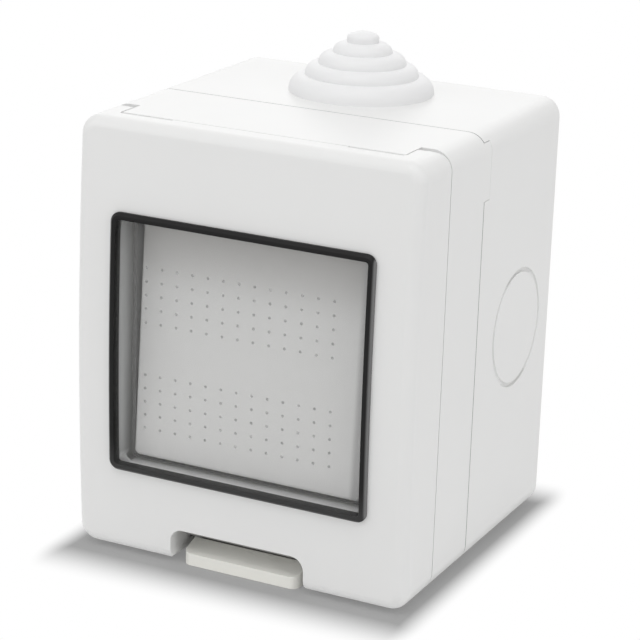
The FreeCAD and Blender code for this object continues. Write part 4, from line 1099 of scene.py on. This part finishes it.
                # The dome's top band and peak take the second material, with the painted shade and
                # glints.
                face.material_index = int(level == len(rings) - 2)
        peak = mesh.verts.new(self._on_front(x, z, self.dot_height))
        for index in range(around):
            face = mesh.faces.new((rings[-1][index], rings[-1][(index + 1) % around], peak))
            face.material_index = 1
        quarter = around // 4
        foot = rings[0]
        for side in range(4):
            start = side * quarter
            run = [foot[(start + step) % around] for step in range(quarter)]
            mesh.faces.new((corners[side], corners[(side + 1) % 4], *reversed(run)))
            nxt = (start + quarter) % around
            mesh.faces.new((corners[(side + 1) % 4], foot[nxt], foot[(nxt - 1) % around]))

    def _on_front(self, x: float, z: float, height: float) -> Vector:
        """Point at a height over the front surface."""
        return Vector((x, self.front.at(z) - height, z))

    def build(self) -> None:
        """Dresses the lid and its collar seal, and makes the window."""
        dress("lid", self.finishes.get(Finishes.LID), Edge(self.edge))
        dress("lid_seal", self.finishes.get(Finishes.SEAL))
        self.ring()
        self.membrane()


@dataclass
class Latch:
    """Spring-loaded tab below the lid.

    Attributes:
        finishes: the switch's finishes.
        edge: how the tab's edges are eased.
    """

    finishes: Finishes
    edge: Edge = field(default_factory=lambda: Edge(0.55 * MM, segments=4))

    def build(self) -> None:
        """Dresses the tab and its spring."""
        dress("latch_tab", self.finishes.get(Finishes.TAB), self.edge)
        dress("latch_spring", self.finishes.get(Finishes.STEEL))


@dataclass
class Rocker:
    """Rocker key with what it carries.

    Attributes:
        finishes: the switch's finishes.
        edge: how the key's edges are eased.
    """

    finishes: Finishes
    edge: Edge = field(default_factory=Edge)

    def build(self) -> None:
        """Dresses the key, its carrier and the plunger."""
        dress("rocker_key", self.finishes.get(Finishes.KEY), self.edge)
        dress("rocker_carrier", self.finishes.get(Finishes.MODULE))
        dress("plunger", self.finishes.get(Finishes.MODULE))
        dress("plunger_spring", self.finishes.get(Finishes.STEEL))


@dataclass
class Mechanism:
    """Switch mechanism behind the rocker.

    Attributes:
        finishes: the switch's finishes.
        edge: width of the mouldings' eased edges.
    """

    finishes: Finishes
    edge: float = 0.1 * MM

    def build(self) -> None:
        """Dresses the mouldings, contacts, terminals and screws."""
        for node in ("switch_cover", "switch_base"):
            dress(node, self.finishes.get(Finishes.MODULE), Edge(self.edge))
        for node in ("module_screws", "cover_screws", "terminal_clamps", "terminal_screws"):
            dress(node, self.finishes.get(Finishes.STEEL))
        for node in ("common_terminal", "upper_terminal", "lower_terminal", "contact_blade"):
            dress(node, self.finishes.get(Finishes.BRASS))
        for node in ("fixed_contacts", "moving_contacts"):
            dress(node, self.finishes.get(Finishes.SILVER))


@dataclass
class Studio:
    """Camera, floor and soft light.

    Attributes:
        azimuth: the camera's turn round the object, in degrees.
        elevation: its height over the horizon, in degrees.
        roll: its turn about its own line of sight, in degrees.
        distance: from the camera to the middle of the switch.
        aside: shift of the camera to its right.
        above: shift of the camera upward.
        lens: focal length in millimetres.
        sensor: width of the sensor in millimetres.
        clip: distance from the camera at which the picture starts.
        target: the point that the camera and the lamps face.
        floor: height of the floor.
        floor_reach: half of the floor's side.
        floor_tone: tone of the floor.
        world: strength of the light from all round.
        halo: distance from the switch, sideways and to the front, at which the painted shadow has
        faded and the floor is white.
        hem: how far under the switch the floor starts to turn white, as a share of the halo.
        painted_shadow_tone: the floor's tone round the switch as the camera sees it, a painted
            shadow.
        lamps: azimuth, elevation, side in metres and power in watts of each lamp.
        lamp_distance: from the target to each lamp.
    """

    azimuth: float = 26.06
    elevation: float = 17.91
    roll: float = 1.93
    distance: float = 443.8 * MM
    aside: float = -0.02 * MM
    above: float = -0.45 * MM
    lens: float = 135.7
    sensor: float = 36.0
    clip: float = 10.0 * MM
    target: tuple[float, float, float] = (0.0, -30.65 * MM, 0.0)
    floor: float = -40.65 * MM
    floor_reach: float = 3.0
    floor_tone: float = 0.97
    world: float = 0.45
    halo: Point = (5.0 * MM, 12.0 * MM)
    hem: float = 0.4
    painted_shadow_tone: float = 0.52
    lamps: tuple[tuple[float, float, float, float], ...] = (
        (10.0, 72.0, 1.1, 8.0),
        (-50.0, 25.0, 1.0, 3.6),
        (75.0, 25.0, 1.0, 3.7),
        (200.0, 35.0, 1.4, 4.0),
    )
    lamp_distance: float = 1.5

    def _toward(self, turn: float, lift: float) -> Vector:
        """Direction from the switch at an azimuth and an elevation, in radians."""
        flat = math.cos(lift)
        return Vector((math.sin(turn) * flat, -math.cos(turn) * flat, math.sin(lift)))

    def camera(self) -> None:
        """Places the camera at the photograph's viewing angle."""
        turn, lift, roll = (math.radians(a) for a in (self.azimuth, self.elevation, self.roll))
        back = self._toward(turn, lift)
        right = Vector((math.cos(turn), math.sin(turn), 0))
        up = back.cross(right)
        across = right * math.cos(roll) + up * math.sin(roll)
        upward = up * math.cos(roll) - right * math.sin(roll)
        place = Vector(self.target) + back * self.distance + right * self.aside + up * self.above
        data = bpy.data.cameras.new("camera")
        data.lens = self.lens
        data.sensor_width = self.sensor
        data.clip_start = self.clip
        camera = bpy.data.objects.new("camera", data)
        bpy.context.scene.collection.objects.link(camera)
        rows = Matrix((across, upward, back)).transposed().to_4x4()
        camera.matrix_world = Matrix.Translation(place) @ rows
        bpy.context.scene.camera = camera

    def ground(self) -> None:
        """Lays a pale floor, white to the camera, with a soft shadow that is partly painted."""
        shader = Shader(bpy.data.materials.new("floor"))
        # Painted shadow: near the switch the camera sees a darker floor tone, turning to white
        # further out; the real shadow falls on it too.
        pale, near = (shader.node("ShaderNodeBsdfDiffuse", {}, {"Color": linear((tone,) * 3)})
                      for tone in (self.floor_tone, self.painted_shadow_tone))
        seen = self._seen(shader)
        matt = shader.node("ShaderNodeMixShader", {}, {0: seen, 1: pale, 2: near})
        glow = shader.node("ShaderNodeEmission", {}, {"Color": linear((1.0,) * 3), "Strength": 1.0})
        outside = []
        for letter, low, high, halo in zip("XY", *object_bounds(), self.halo):
            beyond = abs(shader.axis(letter) - (low + high) / 2) - (high - low) / 2
            outside.append((beyond | 0.0) * (1.0 / halo))
        away = (outside[0] ** 2.0 + outside[1] ** 2.0) ** 0.5
        share = shader.ramp(away, -self.hem, 1.0)
        surface = shader.node("ShaderNodeMixShader", {}, {0: seen * share, 1: matt, 2: glow})
        mesh = bmesh.new()
        reach = self.floor_reach
        corners = ((-reach, -reach), (reach, -reach), (reach, reach), (-reach, reach))
        mesh.faces.new([mesh.verts.new((x, y, self.floor)) for x, y in corners])
        data = bpy.data.meshes.new("floor")
        mesh.to_mesh(data)
        mesh.free()
        data.materials.append(shader.finish(surface))
        plane = bpy.data.objects.new("floor", data)
        bpy.context.scene.collection.objects.link(plane)
        plane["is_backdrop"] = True

    def light(self) -> None:
        """Sets the world and the soft lamps."""
        shader = Shader(bpy.data.worlds.new("studio"))
        white = linear((1.0,) * 3)
        soft = shader.node("ShaderNodeBackground", {}, {"Color": white, "Strength": self.world})
        plain = shader.node("ShaderNodeBackground", {}, {"Color": white, "Strength": 1.0})
        surface = shader.node("ShaderNodeMixShader", {}, {0: self._seen(shader), 1: soft, 2: plain})
        bpy.context.scene.world = shader.finish(surface)
        for index, (turn, lift, side, power) in enumerate(self.lamps):
            self._lamp(index, turn, lift, side, power)

    def _seen(self, shader: Shader) -> Signal:
        """Marks what the camera sees directly, mirrored or through a clear piece.

        Args:
            shader: what the nodes are added to.

        Returns:
            1 where it is seen so, and 0 where it only lights the switch.
        """
        kinds = ("Is Camera Ray", "Is Glossy Ray", "Is Transmission Ray")
        camera, glossy, through = (shader.node("ShaderNodeLightPath", output=k) for k in kinds)
        return camera | glossy | through

    def _lamp(self, index: int, turn: float, lift: float, side: float, power: float) -> None:
        """Hangs one square lamp that faces the switch.

        Args:
            index: its number.
            turn: its azimuth in degrees.
            lift: its elevation in degrees.
            side: its side in metres.
            power: its power in watts.
        """
        data = bpy.data.lights.new(f"lamp_{index}", "AREA")
        data.shape = "SQUARE"
        data.size = side
        data.energy = power
        lamp = bpy.data.objects.new(f"lamp_{index}", data)
        bpy.context.scene.collection.objects.link(lamp)
        back = self._toward(math.radians(turn), math.radians(lift))
        lamp.location = Vector(self.target) + back * self.lamp_distance
        lamp.rotation_euler = back.to_track_quat("Z", "Y").to_euler()

    def build(self) -> None:
        """Sets up the picture."""
        bpy.context.scene.view_settings.view_transform = "Standard"
        self.camera()
        self.ground()
        self.light()


def main() -> None:
    """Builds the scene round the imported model."""
    logging.basicConfig(level=logging.INFO, format="%(name)s %(message)s")
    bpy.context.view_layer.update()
    finishes = Finishes()
    Studio().build()
    for assembly in (Enclosure, Cover, Latch, Rocker, Mechanism):
        assembly(finishes).build()


if __name__ == "__main__":
    main()
